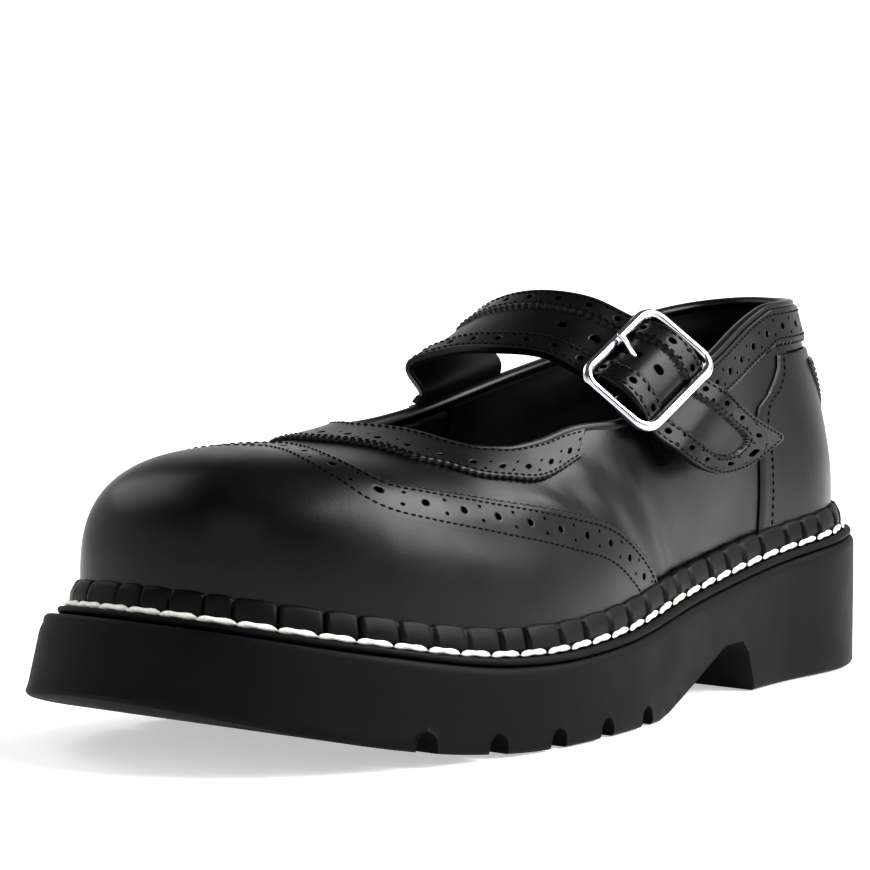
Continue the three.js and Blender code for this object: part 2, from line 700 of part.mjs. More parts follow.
add("heel_stiffener", heelPanel({
  columns: 16, rows: 5, low: STIFF_LOW, high: STIFF_HIGH,
  edge: () => 1.14, foot: () => PUFF_FOOT, top: () => 0.25,
}), 0xb9a98a, 0.9);

// perforated overlays round the foot's opening, on the outer and the inner side
const COLLAR_DROP = 0.085;
const COLLAR_FRONT = 0.33 * SOLE_LENGTH;
for (const [name, side] of [["collar_band_outer", 1], ["collar_band_inner", -1]]) {
  add(name, sidePanel({
    columns: 11, rows: 3, side, low: OVER_LOW, high: OVER_HIGH,
    back: () => 0.02, front: toStation(COLLAR_FRONT),
    foot: (s) => rim(side)(s) - COLLAR_DROP, top: rim(side),
  }), BLACK_LEATHER, 0.42);
}

// throat band: its lower edge, as height t for places ahead
const THROAT_LOW = share([
  [150, 0.42], [167, 0.435], [186, 0.44], [197, 0.485], [207, 0.54], [214, 0.62],
  [221, 0.71], [223.5, 0.87], [225, 1],
]);
function throatFront(t) {
  let low = THROAT_LOW[0][0];
  let high = THROAT_LOW[THROAT_LOW.length - 1][0];
  for (let i = 0; i < 30; i += 1) {
    const mid = (low + high) / 2;
    if (smooth(THROAT_LOW, mid) < t) low = mid;
    else high = mid;
  }
  return toStation(high);
}
const BAND_BACK = 0.53 * SOLE_LENGTH;
add("throat_band", archPanel({
  columns: 4, rows: 14, low: OVER_LOW, high: OVER_HIGH, foot: 0.43,
  back: (t, side) => Math.max(toStation(BAND_BACK), toStation(toplineAhead(t, side))),
  front: (t) => Math.max(throatFront(t), toStation(BAND_BACK) + 0.02),
}), BLACK_LEATHER, 0.42);

// linings: one over the toes, one round the heel
const LINING_SEAM = 0.48 * SOLE_LENGTH;
const LINING_FOOT = -0.005;
add("vamp_lining", archPanel({
  columns: 16, rows: 8, low: LINING_LOW, high: LINING_HIGH, openEnd: false, foot: LINING_FOOT,
  back: (t, side) => Math.max(toStation(LINING_SEAM), toStation(toplineAhead(t, side))),
  front: () => 3,
}), LINING_LEATHER, 0.7);
add("quarter_lining", heelPanel({
  columns: 28, rows: 6, low: LINING_LOW, high: LINING_HIGH,
  edge: () => toStation(LINING_SEAM) - 2 * JOIN, foot: () => LINING_FOOT, top: topline,
}), LINING_LEATHER, 0.7);
add("collar_padding", heelPanel({
  columns: 24, rows: 3, low: STIFF_LOW, high: STIFF_HIGH,
  edge: () => toStation(0.36 * SOLE_LENGTH), foot: (s) => topline(s) - 0.09, top: (s) => topline(s) - 0.01,
}), 0x55504a, 0.95);

// rolled binding along the whole topline
const bindingOff = (OVER_HIGH + LINING_LOW) / 2;
const STEEP = 0.6; // past this height the topline turns in across the throat
const throatWalk = (side) => range(6, STEEP, 1).map((t) => toStation(toplineAhead(t, side)));
const sideWalk = (side) => range(15, 0, throatWalk(side)[0]);
const bindingWalk = [
  ...sideWalk(1), ...throatWalk(1).slice(1),
  ...[...sideWalk(-1).slice(1), ...throatWalk(-1).slice(1, -1)].reverse().map(mirrorWalk),
];
const rimPoint = (s) => upperAt(s, Math.min(topline(s), 1), bindingOff);
add("topline_binding", roundBar(bindingWalk.map((s) => {
  // square to the topline, within the wall, pointing into the foot's opening
  const step = 0.004;
  const run = rimPoint(s + step).sub(rimPoint(s - step));
  const up = upperNormal(s, Math.min(topline(s), 1)).cross(run).normalize();
  if (up.z + 0.5 * up.y < 0) up.negate();
  return rimPoint(s).addScaledVector(up, BINDING / 2 + 2 * GAP);
}), BINDING, 8, true), BLACK_LEATHER, 0.4);

// ---------------------------------------------------------------- buckle
/** A place of the strap: across and ahead for the sole's nominal width and length, and over the sole. */
const strapPlace = (x, ahead, h) => {
  const a = (ahead / 300) * SOLE_LENGTH;
  return aheadPoint((x / 113) * SOLE_WIDTH, a, soleTop(a) + h);
};
const BUCKLE_AT = strapPlace(35.6, 129.7, 66.073);
const ACROSS = new THREE.Vector3(0, 0.88, 0.475).normalize();
const ALONG = new THREE.Vector3(0.69, 0.343, -0.636).normalize();
const OUT = ALONG.clone().cross(ACROSS).normalize();
const buckleFrame = (along, across, out) => BUCKLE_AT.clone()
  .addScaledVector(ALONG, along).addScaledVector(ACROSS, across).addScaledVector(OUT, out);

function buckleWire() {
  const path = new THREE.Path();
  const [l, w, r] = [BUCKLE_ALONG / 2, BUCKLE_ACROSS / 2, BUCKLE_CORNER];
  path.moveTo(l, -w + r);
  path.lineTo(l, w - r);
  path.absarc(l - r, w - r, r, 0, Math.PI / 2);
  path.lineTo(-l + r, w);
  path.absarc(-l + r, w - r, r, Math.PI / 2, Math.PI);
  path.lineTo(-l, -w + r);
  path.absarc(-l + r, -w + r, r, Math.PI, 1.5 * Math.PI);
  path.lineTo(l - r, -w);
  path.absarc(l - r, -w + r, r, 1.5 * Math.PI, 2 * Math.PI);
  const points = path.getPoints(4).map((p) => buckleFrame(p.x, p.y, 0));
  return points.filter((p, i) => p.distanceTo(points[(i + 1) % points.length]) > 0.01);
}
const frameWire = toManifold(roundBar(buckleWire(), WIRE, 10, true));
const barEnds = BUCKLE_ACROSS / 2;
const BAR_BEND = 2.5; // length over which the bar reaches its drop
const barSolid = toManifold(roundBar([
  buckleFrame(0, -barEnds, 0),
  buckleFrame(0, -barEnds + BAR_BEND, -BAR_DROP),
  buckleFrame(0, barEnds - BAR_BEND, -BAR_DROP),
  buckleFrame(0, barEnds, 0),
], CENTRE_BAR, 10));
add("buckle_frame", fromManifold(frameWire.add(barSolid)), CHROME, 0.12, 1);

// prong: hooked under the centre bar, it comes up through the strap and rests on the near bar
const hookGap = GAP + CENTRE_BAR / 2 + PRONG / 2;
const hook = range(8, 2.25 * Math.PI, Math.PI).map((w) =>
  buckleFrame(hookGap * Math.cos(w), 0, -BAR_DROP + hookGap * Math.sin(w)));
const tipRise = WIRE / 2 + PRONG / 2 + GAP;
const near = -BUCKLE_ALONG / 2;
add("buckle_prong", roundBar([
  ...hook,
  buckleFrame(-hookGap - 0.6, 0, -BAR_DROP + 1.2),
  buckleFrame(lerp(-hookGap, near, 0.5), 0, lerp(-BAR_DROP, tipRise, 0.62)),
  buckleFrame(near + 1.8, 0, tipRise),
  buckleFrame(near - 0.7, 0, tipRise),
], PRONG, 8), CHROME, 0.12, 1);

// ---------------------------------------------------------------- instep strap
/** A flat strap from stations of middle, width direction and half width; low and high are its faces. */
function flatStrap(stations, low, high) {
  const n = stations.length;
  const rings = stations.map(({ mid, wide, half }, i) => {
    const run = stations[Math.min(i + 1, n - 1)].mid.clone().sub(stations[Math.max(i - 1, 0)].mid);
    const normal = run.cross(wide).normalize();
    const corner = (w, h) => mid.clone().addScaledVector(wide, w * half).addScaledVector(normal, h);
    return [corner(-1, low), corner(1, low), corner(1, high), corner(-1, high)];
  });
  return ringSolid(rings, false);
}

const STRAP_BACK = 0.397 * SOLE_LENGTH; // the strap's root on the inner side, rear and front edge
const STRAP_FRONT = 0.52 * SOLE_LENGTH;
const strapFace = OVER_LOW + STRAP_LINING + GAP;
const innerEdge = (a, up, off) => {
  const s = mirrorWalk(toStation(a));
  return upperAt(s, topline(s) + up, off);
};
const pairStation = (front, rear, flare = 1) => ({
  mid: front.clone().add(rear).multiplyScalar(0.5),
  wide: rear.clone().sub(front).normalize(),
  half: (STRAP_WIDTH / 2) * flare,
});
const rootStation = (up, flare) => pairStation(
  innerEdge(STRAP_FRONT, up, strapFace), innerEdge(STRAP_BACK, up, strapFace), flare);
const buckleStation = (along, out) => ({
  mid: buckleFrame(along, 0, out), wide: ACROSS.clone(), half: STRAP_WIDTH / 2,
});
const underBar = -(WIRE / 2 + 2 * GAP + STRAP_THICK);
const TAB_THICK = 1.2;
const overBar = -BAR_DROP + CENTRE_BAR / 2 + GAP + TAB_THICK + GAP + STRAP_LINING + GAP;
const strapStations = [
  rootStation(0.01, 1.3),
  rootStation(0.05, 1.22),
  pairStation(strapPlace(-31, 152.5, 67.464), strapPlace(-31.5, 122, 73.144), 1.08),
  pairStation(strapPlace(-19, 150.6, 71.639), strapPlace(-22, 125, 80.995), 1),
  pairStation(strapPlace(0, 151.8, 73.182), strapPlace(-4, 127, 85.437), 1),
  pairStation(strapPlace(14, 149.5, 71.606), strapPlace(11, 122.5, 83.701), 1),
  buckleStation(-BUCKLE_ALONG / 2, underBar),
  buckleStation(-BUCKLE_ALONG / 4, lerp(underBar, overBar, 0.55)),
  buckleStation(0, overBar),
  buckleStation(BUCKLE_ALONG / 4, lerp(underBar, overBar, 0.55)),
  buckleStation(BUCKLE_ALONG / 2, underBar),
  pairStation(strapPlace(45, 130, 42.41), strapPlace(44, 103.5, 57.112), 1),
  pairStation(strapPlace(45.5, 119, 35.81), strapPlace(43, 88.5, 47.996), 1.03),
  pairStation(strapPlace(44.5, 101, 31.34), strapPlace(41, 69, 37.98), 1.08),
];

const STRAP_STEPS = 42;
const midCurve = new THREE.CatmullRomCurve3(strapStations.map((st) => st.mid));
midCurve.arcLengthDivisions = 400;
const strapFine = range(STRAP_STEPS).map((u) => {
  const k = u * (strapStations.length - 1);
  const i = Math.min(Math.floor(k), strapStations.length - 2);
  const w = k - i;
  return {
    mid: midCurve.getPoint(u),
    wide: strapStations[i].wide.clone().lerp(strapStations[i + 1].wide, w).normalize(),
    half: lerp(strapStations[i].half, strapStations[i + 1].half, w),
  };
});
// holes: one pitch apart, the prong's own hole a little way in from the near bar
const PRONG_HOLE = 5.4;
const PRONG_SLOT = 10;
const NEAR_BAR = 6 / (strapStations.length - 1); // the near bar's place along the curve
function holeTool(distance, length) {
  const steps = midCurve.arcLengthDivisions;
  const nearBar = midCurve.getLengths(steps)[Math.round(NEAR_BAR * steps)];
  const u = (nearBar + distance) / midCurve.getLength();
  const p = midCurve.getPointAt(u);
  const run = midCurve.getTangentAt(u);
  const wide = ACROSS.clone().addScaledVector(run, -ACROSS.dot(run)).normalize();
  const tool = new THREE.CylinderGeometry(HOLE_WIDTH / 2, HOLE_WIDTH / 2, 12, 12);
  tool.scale(length / HOLE_WIDTH, 1, 1);
  tool.applyMatrix4(new THREE.Matrix4().makeBasis(run, run.clone().cross(wide), wide.negate()));
  tool.translate(p.x, p.y, p.z);
  return outwards(mergeVertices(strip(tool), 1e-4));
}
const holes = [
  holeTool(PRONG_HOLE, PRONG_SLOT),
  ...[-2, -1, 1, 2].map((k) => holeTool(PRONG_HOLE + k * HOLE_PITCH, HOLE_WIDTH)),
];
add("strap", cut(flatStrap(strapFine, 0, STRAP_THICK), holes), BLACK_LEATHER, 0.42);
add("strap_lining", cut(flatStrap(strapFine, -GAP - STRAP_LINING, -GAP), holes), LINING_LEATHER, 0.7);

const ROOT_DEEP = 0.2;
add("strap_root", panel({
  columns: 5, rows: 5, low: OVER_LOW, high: OVER_LOW + STRAP_LINING + GAP + STRAP_THICK,
  place: (u, v) => {
    const flare = (STRAP_FRONT - STRAP_BACK) * 0.06;
    const s = mirrorWalk(toStation(lerp(STRAP_BACK - flare, STRAP_FRONT + flare, u)));
    return [s, lerp(topline(s) - ROOT_DEEP, topline(s) - 4 * JOIN, v)];
  },
}), BLACK_LEATHER, 0.42);

// ---- tab: folded round the centre bar and sewn down on the outer quarter
const TAB_WIDTH = 24;
const TAB_SLOT = PRONG + 1.6;
function buckleTab() {
  const inner = CENTRE_BAR / 2 + GAP;
  const outer = inner + TAB_THICK;
  const loop = range(14, 0.1 * Math.PI, 1.8 * Math.PI).map((w) => [Math.cos(w), Math.sin(w)]);
  const half = TAB_WIDTH / 2;
  const rings = loop.map(([c, n]) => [[inner, -half], [inner, half], [outer, half], [outer, -half]]
    .map(([r, w]) => buckleFrame(r * c, w, r * n - BAR_DROP)));
  const fold = toManifold(ringSolid(rings, false));
  // tail: front and rear edge, as places along the strap's run and heights off the buckle's plane
  const tail = [
    [[1.9, -2.9], [1.9, -2.9]], [[6.5, -3.5], [6.5, -5.3]], [[10, -5], [11.5, -9.2]],
    [[15, -8], [16.5, -14.1]], [[20.5, -12], [21, -18.3]],
  ].map(([f, r]) => ({
    ...pairStation(buckleFrame(f[0], -half, f[1]), buckleFrame(r[0], half, r[1])),
    half,
  }));
  let body = fold.add(toManifold(flatStrap(tail, -TAB_THICK * 0.9, TAB_THICK * 0.9)));
  const bore = roundBar(
    [buckleFrame(0, -TAB_WIDTH, -BAR_DROP), buckleFrame(0, TAB_WIDTH, -BAR_DROP)], 2 * inner, 12);
  const slot = new THREE.BoxGeometry(9, 9, TAB_SLOT);
  slot.applyMatrix4(new THREE.Matrix4().makeBasis(ALONG, OUT, ACROSS.clone().negate())
    .setPosition(buckleFrame(0, 0, -BAR_DROP)));
  body = body.subtract(toManifold(bore)).subtract(toManifold(outwards(mergeVertices(strip(slot), 1e-4))));
  return fromManifold(body);
}
add("buckle_tab", buckleTab(), BLACK_LEATHER, 0.42);

// the origin is the middle of the part's box, on the ground
const box = new THREE.Box3().setFromObject(shoe);
shoe.position.set(-(box.min.x + box.max.x) / 2, -(box.min.y + box.max.y) / 2, -box.min.z);

export default shoe;
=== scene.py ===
"""A left strap shoe: black box-calf brogue upper, white-stitched welt and a thick lugged rubber sole.

Shapes are worked out in millimetres. A place is given by x, the distance to the outer side, by "ahead",
the distance in front of the heel's back edge, and by its height, and place() puts it into the frame.
"""
import math

import bmesh
import bpy
import numpy as np
from mathutils import Matrix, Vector
from mathutils.bvhtree import BVHTree


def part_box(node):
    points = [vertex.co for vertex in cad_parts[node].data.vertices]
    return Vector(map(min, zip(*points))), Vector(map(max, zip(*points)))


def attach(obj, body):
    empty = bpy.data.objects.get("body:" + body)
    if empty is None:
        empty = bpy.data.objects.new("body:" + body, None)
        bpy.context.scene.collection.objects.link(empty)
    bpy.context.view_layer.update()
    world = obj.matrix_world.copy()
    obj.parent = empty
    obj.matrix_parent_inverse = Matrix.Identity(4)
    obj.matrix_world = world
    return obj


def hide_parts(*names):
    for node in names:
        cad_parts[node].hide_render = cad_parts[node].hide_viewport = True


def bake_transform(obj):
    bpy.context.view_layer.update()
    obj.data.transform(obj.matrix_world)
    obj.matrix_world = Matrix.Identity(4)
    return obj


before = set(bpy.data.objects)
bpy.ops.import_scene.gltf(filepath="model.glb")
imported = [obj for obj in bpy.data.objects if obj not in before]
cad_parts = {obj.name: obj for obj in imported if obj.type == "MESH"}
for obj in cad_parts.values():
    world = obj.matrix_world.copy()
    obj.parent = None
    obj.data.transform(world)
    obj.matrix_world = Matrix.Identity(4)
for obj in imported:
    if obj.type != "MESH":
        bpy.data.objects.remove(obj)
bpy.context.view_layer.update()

MM = 0.001
TAU = 2 * math.pi
rng = np.random.default_rng(11)

# ------------------------------------------------------------------ driving sizes, in millimetres
SOLE_LENGTH, SOLE_WIDTH = 300.0, 113.0
HEEL_HEIGHT, FOREPART_HEIGHT, TOE_SPRING = 38.5, 22.5, 15.0
SOLE_FLARE, WALL_FLARE = 5.0, 0.3
BREAST_RISE = 15.0
LUG_DEPTH, LUG_WIDTH = 5.5, 6.5
WELT_TOP, WELT_EDGE, WELT_WIDTH = 2.4, 0.9, 11.0
THREAD, THREAD_IN = 1.6, 3.9
UPPER_IN, TOE_SETBACK = 7.9, 3.1
RAND_HEIGHT = 9.3
LEATHER = 1.3
STRAP_WIDTH, STRAP_THICK = 29.0, 1.4
BUCKLE_ACROSS, BUCKLE_ALONG, BUCKLE_CORNER = 36.0, 24.0, 5.0
WIRE, CENTRE_BAR, BAR_DROP, PRONG = 3.0, 2.4, 1.8, 2.0
TAB_WIDTH, TAB_THICK = 24.0, 1.2
GAP = 0.3


# ------------------------------------------------------------------ small mathematics
def smooth(knots, x):
    """Cubic Hermite curve through knots (x, y), each slope that of the chord between its neighbours."""
    k = np.asarray(knots, float)
    kx, ky = k[:, 0], k[:, 1]
    ahead, behind = np.r_[kx[1:], kx[-1]], np.r_[kx[0], kx[:-1]]
    slope = (np.r_[ky[1:], ky[-1]] - np.r_[ky[0], ky[:-1]]) / (ahead - behind)
    x = np.clip(x, kx[0], kx[-1])
    i = np.clip(np.searchsorted(kx, x, side="right") - 1, 0, len(kx) - 2)
    h = kx[i + 1] - kx[i]
    t = (x - kx[i]) / h
    rise = (2 * t**3 - 3 * t**2 + 1) * ky[i] + (3 * t**2 - 2 * t**3) * ky[i + 1]
    return rise + h * ((t**3 - 2 * t**2 + t) * slope[i] + (t**3 - t**2) * slope[i + 1])


def loop_through(points, n):
    """Closed uniform Catmull-Rom curve through the points, sampled n times."""
    p = np.asarray(points, float)
    u = np.arange(n) / n * len(p)
    i, t = u.astype(int), (u % 1)[:, None]
    a, b, c, d = (p[(i + k) % len(p)] for k in (-1, 0, 1, 2))
    return 0.5 * (2 * b + (c - a) * t + (2 * a - 5 * b + 4 * c - d) * t**2 + (3 * b - a - 3 * c + d) * t**3)


def soften(values, width, closed=False):
    """Gaussian average along the first axis; width is its spread in samples."""
    reach = int(3 * width) + 1
    k = np.exp(-0.5 * (np.arange(-reach, reach + 1) / width) ** 2)
    flat = np.reshape(values, (len(values), -1))
    ends = {"mode": "wrap"} if closed else {"mode": "reflect", "reflect_type": "odd"}
    pad = np.pad(flat, ((reach, reach), (0, 0)), **ends)
    out = np.stack([np.convolve(pad[:, j], k / k.sum(), "valid") for j in range(flat.shape[1])], 1)
    return out.reshape(np.shape(values))


def inset(loop, distance):
    """The closed outline moved square to itself, inwards, by distance at each point."""
    run = np.roll(loop, -1, 0) - np.roll(loop, 1, 0)
    run /= np.linalg.norm(run, axis=1)[:, None]
    square = np.stack([-run[:, 1], run[:, 0]], 1)
    return loop + square * np.broadcast_to(distance, len(loop))[:, None]


def unit(v):
    """The vectors at length 1."""
    return v / np.maximum(np.linalg.norm(v, axis=-1, keepdims=True), 1e-9)


def arc(points):
    """Distance walked along a line of points."""
    return np.r_[0, np.cumsum(np.linalg.norm(np.diff(points, axis=0), axis=1))]


def step_up(x, low, high):
    """0 below low, 1 above high, an S-curve between."""
    t = np.clip((x - low) / (high - low), 0, 1)
    return t * t * (3 - 2 * t)


# ------------------------------------------------------------------ the sole's outline and levels
EDGE_SHAPE = [  # shares of width and length: heel, outer side, toe, inner side
    (-0.018, 0), (0.212, 0.027), (0.336, 0.103), (0.358, 0.233), (0.425, 0.393), (0.522, 0.56),
    (0.54, 0.707), (0.451, 0.857), (0.239, 0.967), (-0.071, 1), (-0.363, 0.963), (-0.46, 0.84),
    (-0.438, 0.687), (-0.363, 0.517), (-0.31, 0.367), (-0.332, 0.2), (-0.336, 0.09), (-0.221, 0.017),
]
OUTLINE_STEPS = 3600
EDGE = soften(loop_through(np.array(EDGE_SHAPE) * [SOLE_WIDTH, SOLE_LENGTH], OUTLINE_STEPS), 16, closed=True)
DROP = HEEL_HEIGHT - FOREPART_HEIGHT
TOP_KNOTS = [
    (0, HEEL_HEIGHT), (24, HEEL_HEIGHT - 0.02 * DROP), (69, FOREPART_HEIGHT + 0.72 * DROP),
    (120, FOREPART_HEIGHT + 0.38 * DROP), (171, FOREPART_HEIGHT + 0.02 * DROP), (219, FOREPART_HEIGHT),
    (264, FOREPART_HEIGHT + 0.47 * TOE_SPRING), (300, FOREPART_HEIGHT + TOE_SPRING),
]
SPRING_FROM = 0.67 * SOLE_LENGTH

_, sole_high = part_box("outsole")
BACK_Y = sole_high.y / MM - WALL_FLARE
SIDE_X = sole_high.x / MM - WALL_FLARE - EDGE[:, 0].max()


def place(x, ahead, z):
    """A point of the frame, still in millimetres."""
    return np.stack(np.broadcast_arrays(x + SIDE_X, BACK_Y - ahead, z), -1).astype(float)


def sole_top(a):
    """Height of the sole's top edge."""
    return smooth(TOP_KNOTS, a)


def sole_foot(a):
    """Height of the tread: flat, then a parabola up to the toe."""
    return (TOE_SPRING + 1) * (np.clip(a - SPRING_FROM, 0, None) / (SOLE_LENGTH - SPRING_FROM)) ** 2


def toeward(d, a):
    """An inset that grows by TOE_SETBACK round the toe."""
    return d + TOE_SETBACK * np.clip((a / SOLE_LENGTH - 0.667) / 0.333, 0, 1)


# ------------------------------------------------------------------ the upper's surface
HEEL_POLE, TOE_POLE, THROAT = 44.1, 246.0, 207.9
RIDGE_BEND = 4.0
LEVELLING = 18.0  # the ridge and the fullness level off over this stretch behind the toe's pole
RIDGE = [(0, 102), (44, 104.5), (70, 106), (100, 99), (141, 80), (172, 67.5), (196, 61), (208, 58),
         (225, 54.3), (246, 49.3), (300, 36)]
FULLNESS = [(0, 2.3), (100, 2.3), (141, 2.2), (172, 2.15), (208, 2.3), (246, 3.1), (300, 3.1)]
FEATHER = inset(EDGE, toeward(UPPER_IN, EDGE[:, 1]))
HEEL_LEANS, HEEL_NARROWS = 7.5, 0.1  # how far the top of the heel leans ahead, and the share it narrows by
LEAN_FROM, LEAN_TO, LEAN_AHEAD = 4.0, 62.0, 52.0  # heights over the rand, and the stretch it fades over
TUCK = 0.055  # climb by which the leather reaches down behind the rand
TUCK_DROP = 100.0  # millimetres down for each unit of climb there
FORM_STEPS = 1500
MIDDLE_HIGH = 25.0
BLUR = 0.012  # step of the average that rounds the surface off where its parts meet
BLUR_TAPS = np.exp(-0.5 * (np.arange(-5, 6) / 2.3) ** 2)


def level(a):
    """Ahead, slowed to a standstill at the toe's pole."""
    u = np.clip((TOE_POLE - a) / LEVELLING, 0, 1)
    return np.where(a > TOE_POLE - LEVELLING, TOE_POLE - LEVELLING / 2 * (1 + u * u), a)


def ridge_side(a):
    """The ridge bends to the inner side with the square of the distance ahead."""
    return -RIDGE_BEND * np.clip(a / TOE_POLE, 0, 1) ** 2


def chain(loop, side):
    """One side of an outline as rising ahead values and their x."""
    back, front = loop[:, 1].argmin(), loop[:, 1].argmax()
    rolled = np.roll(loop, -back, 0)
    count = (front - back) % len(loop)
    part = rolled[: count + 1] if side > 0 else np.r_[rolled[count:], rolled[:1]][::-1]
    return part[:, 1], part[:, 0]


def fan(pole, toe):
    """Angle round a pole, 0 towards the toe or heel and rising to the outer side, and the feather's reach."""
    rel = FEATHER - [ridge_side(pole), pole]
    angle = np.arctan2(rel[:, 0], rel[:, 1] if toe else -rel[:, 1])
    order = np.argsort(angle)
    return angle[order], np.hypot(rel[:, 0], rel[:, 1])[order]


CHAINS = {side: chain(FEATHER, side) for side in (1, -1)}
FANS = {True: fan(TOE_POLE, True), False: fan(HEEL_POLE, False)}


def station(s):
    """Where the walk s stands: foot of its section, direction outwards, reach and place ahead of the pole."""
    s = np.mod(s, 6)
    half, side = np.where(s <= 3, s, 6 - s), np.where(s <= 3, 1.0, -1.0)
    a = HEEL_POLE + (TOE_POLE - HEEL_POLE) * np.clip(half - 1, 0, 1)
    x = ridge_side(a)
    toe, straight = half > 2, (half >= 1) & (half <= 2)
    turn = np.where(toe, 3 - half, half) * math.pi / 2
    turn = np.where(straight, math.pi / 2, turn)
    dx, da = side * np.sin(turn), np.cos(turn) * np.where(toe, 1.0, -1.0)
    da = np.where(straight, 0.0, da)
    sides = np.where(side > 0, np.interp(a, *CHAINS[1]) - x, x - np.interp(a, *CHAINS[-1]))
    fans = np.where(toe, np.interp(side * turn, *FANS[True]), np.interp(side * turn, *FANS[False]))
    return x, a, dx, da, np.where(straight, sides, fans)


def raw_upper(s, t):
    """Superellipse section: out = reach cos^(2/n), up = sin^(2/n), from the feather to the ridge."""
    x, a, dx, da, reach = station(s)
    n = smooth(FULLNESS, level(a))
    turn = np.clip(t, 0, 1) * math.pi / 2
    out = reach * np.abs(np.cos(turn)) ** (2 / n)
    foot = sole_top(a + da * reach) + RAND_HEIGHT
    top = sole_top(level(a)) + smooth(RIDGE, level(a))
    high = (top - foot) * np.sin(turn) ** (2 / n)
    lean = step_up(high, LEAN_FROM, LEAN_TO) * (1 - step_up(a, HEEL_POLE, HEEL_POLE + LEAN_AHEAD))
    return place(x + dx * out * (1 - HEEL_NARROWS * lean), a + da * out + HEEL_LEANS * lean,
                 foot + high + TUCK_DROP * np.minimum(t, 0))


def upper(s, t):
    """The upper's outer face at walk s (0 heel, 1-2 outer side, 3 toe, 4-5 inner side) and climb t.
    t is 0 at the rand, 1 on the ridge and goes on to 2 at the other side's rand. Averaged along s."""
    s, t = np.broadcast_arrays(np.asarray(s, float), np.asarray(t, float))
    over = t > 1
    s, t = np.where(over, 6 - s, s), np.where(over, 2 - t, t)
    taps = zip(np.arange(-5, 6) * BLUR, BLUR_TAPS / BLUR_TAPS.sum())
    return sum(w * raw_upper(s + d, t) for d, w in taps)


def hub(a):
    """A point low inside the shoe, level with places ahead."""
    return place(ridge_side(a), np.clip(a, HEEL_POLE, TOE_POLE - 8), sole_top(a) + RAND_HEIGHT - 3)


def make_form():
    """The upper's surface as a fine mesh in which places on it can be looked up."""
    turn = np.linspace(0, math.pi / 2, 120)
    climb = np.r_[-0.07, -0.03, np.arctan2(np.sin(turn) ** 1.3, np.cos(turn) ** 1.3) * 2 / math.pi]
    grid = upper(np.arange(FORM_STEPS)[:, None] / (FORM_STEPS / 6), climb[None])
    i, j = np.meshgrid(np.arange(FORM_STEPS), np.arange(len(climb) - 1), indexing="ij")
    a, b = (i * len(climb) + j).ravel(), ((i + 1) % FORM_STEPS * len(climb) + j).ravel()
    return BVHTree.FromPolygons(grid.reshape(-1, 3).tolist(), np.stack([a, a + 1, b + 1, b], 1).tolist())


def nearest(p):
    """The places of the surface nearest to p, and their normals away from the foot."""
    found = [FORM.find_nearest(q) for q in np.reshape(p, (-1, 3)).tolist()]
    spot, n = (np.reshape([f[k] for f in found], np.shape(p)) for k in (0, 1))
    return spot, n * np.sign(np.sum(n * (spot - hub(BACK_Y - spot[..., 1])), -1, keepdims=True))


def outward(p):
    """Where lines from inside the shoe through p meet the surface."""
    p = np.asarray(p)
    start = hub(BACK_Y - p[..., 1])
    rays = zip(start.reshape(-1, 3).tolist(), (p - start).reshape(-1, 3).tolist())
    return np.reshape([FORM.ray_cast(o, d)[0] for o, d in rays], p.shape)


def to_walk(a):
    """The walk on the outer side at a place ahead."""
    return 1 + (a - HEEL_POLE) / (TOE_POLE - HEEL_POLE)


def from_middle(p):
    """Vectors to p from a line along the inside of the shoe."""
    a = BACK_Y - p[..., 1]
    return p - place(ridge_side(a), np.clip(a, HEEL_POLE, TOE_POLE), sole_top(a) + MIDDLE_HIGH)


def normals(grid):
    """Unit normals of a grid of points, pointing away from the foot."""
    n = np.cross(np.gradient(grid, axis=0), np.gradient(grid, axis=1))
    size = np.linalg.norm(n, axis=-1, keepdims=True)
    n = np.where(size > 1e-7, n / np.maximum(size, 1e-9), [0.0, 0.0, 1.0])
    return n if np.mean(np.sum(n * from_middle(grid), -1)) > 0 else -n


def normal_at(s, t, step=0.004):
    """Unit normal at single places of the surface, by differences."""
    along = upper(s + step, t) - upper(s - step, t)
    up = upper(s, t + step) - upper(s, t - step)
    n = unit(np.cross(along, up))
    return n * np.sign(np.sum(n * from_middle(upper(s, t)), -1, keepdims=True))


FORM = make_form()

# ------------------------------------------------------------------ lines on the upper
# places ahead and climbs of the edge of the foot's opening
TOPLINE_OUT = [(44, 0.41), (70, 0.365), (100, 0.35), (125, 0.36), (145, 0.42), (163, 0.515), (178, 0.55),
               (192, 0.6), (203, 0.72), (208, 1)]
TOPLINE_IN = [(44, 0.37), (70, 0.345), (100, 0.35), (141, 0.455), (172, 0.58), (192, 0.69), (203, 0.82),
              (208, 1)]
HEEL_TOPLINE = 0.405


def topline(s):
    """Climb of the foot opening's edge at walk s."""
    s = np.mod(s, 6)
    half = np.where(s <= 3, s, 6 - s)
    a = HEEL_POLE + (TOE_POLE - HEEL_POLE) * (half - 1)
    side = np.where(s <= 3, smooth(TOPLINE_OUT, a), smooth(TOPLINE_IN, a))
    first = np.where(s <= 3, TOPLINE_OUT[0][1], TOPLINE_IN[0][1])
    return np.where(half < 1, HEEL_TOPLINE + (first - HEEL_TOPLINE) * half * half * (3 - 2 * half), side)


def topline_ahead(t, knots):
    """Place ahead at which that side's topline has climbed to t."""
    a = np.linspace(99, THROAT, 900)
    return np.interp(t, smooth(knots, a), a)


def rim_line(knots):
    """One side of the topline as (walk, climb), heel to throat, closely spaced where it turns steep."""
    steep = np.linspace(0.6, 1, 120)
    a = topline_ahead(steep, knots)
    flat = np.linspace(0, to_walk(a[0]), 500)[:-1]
    climb = topline(flat) if knots is TOPLINE_OUT else topline(6 - flat)
    return np.r_[flat, to_walk(a)], np.r_[climb, steep]


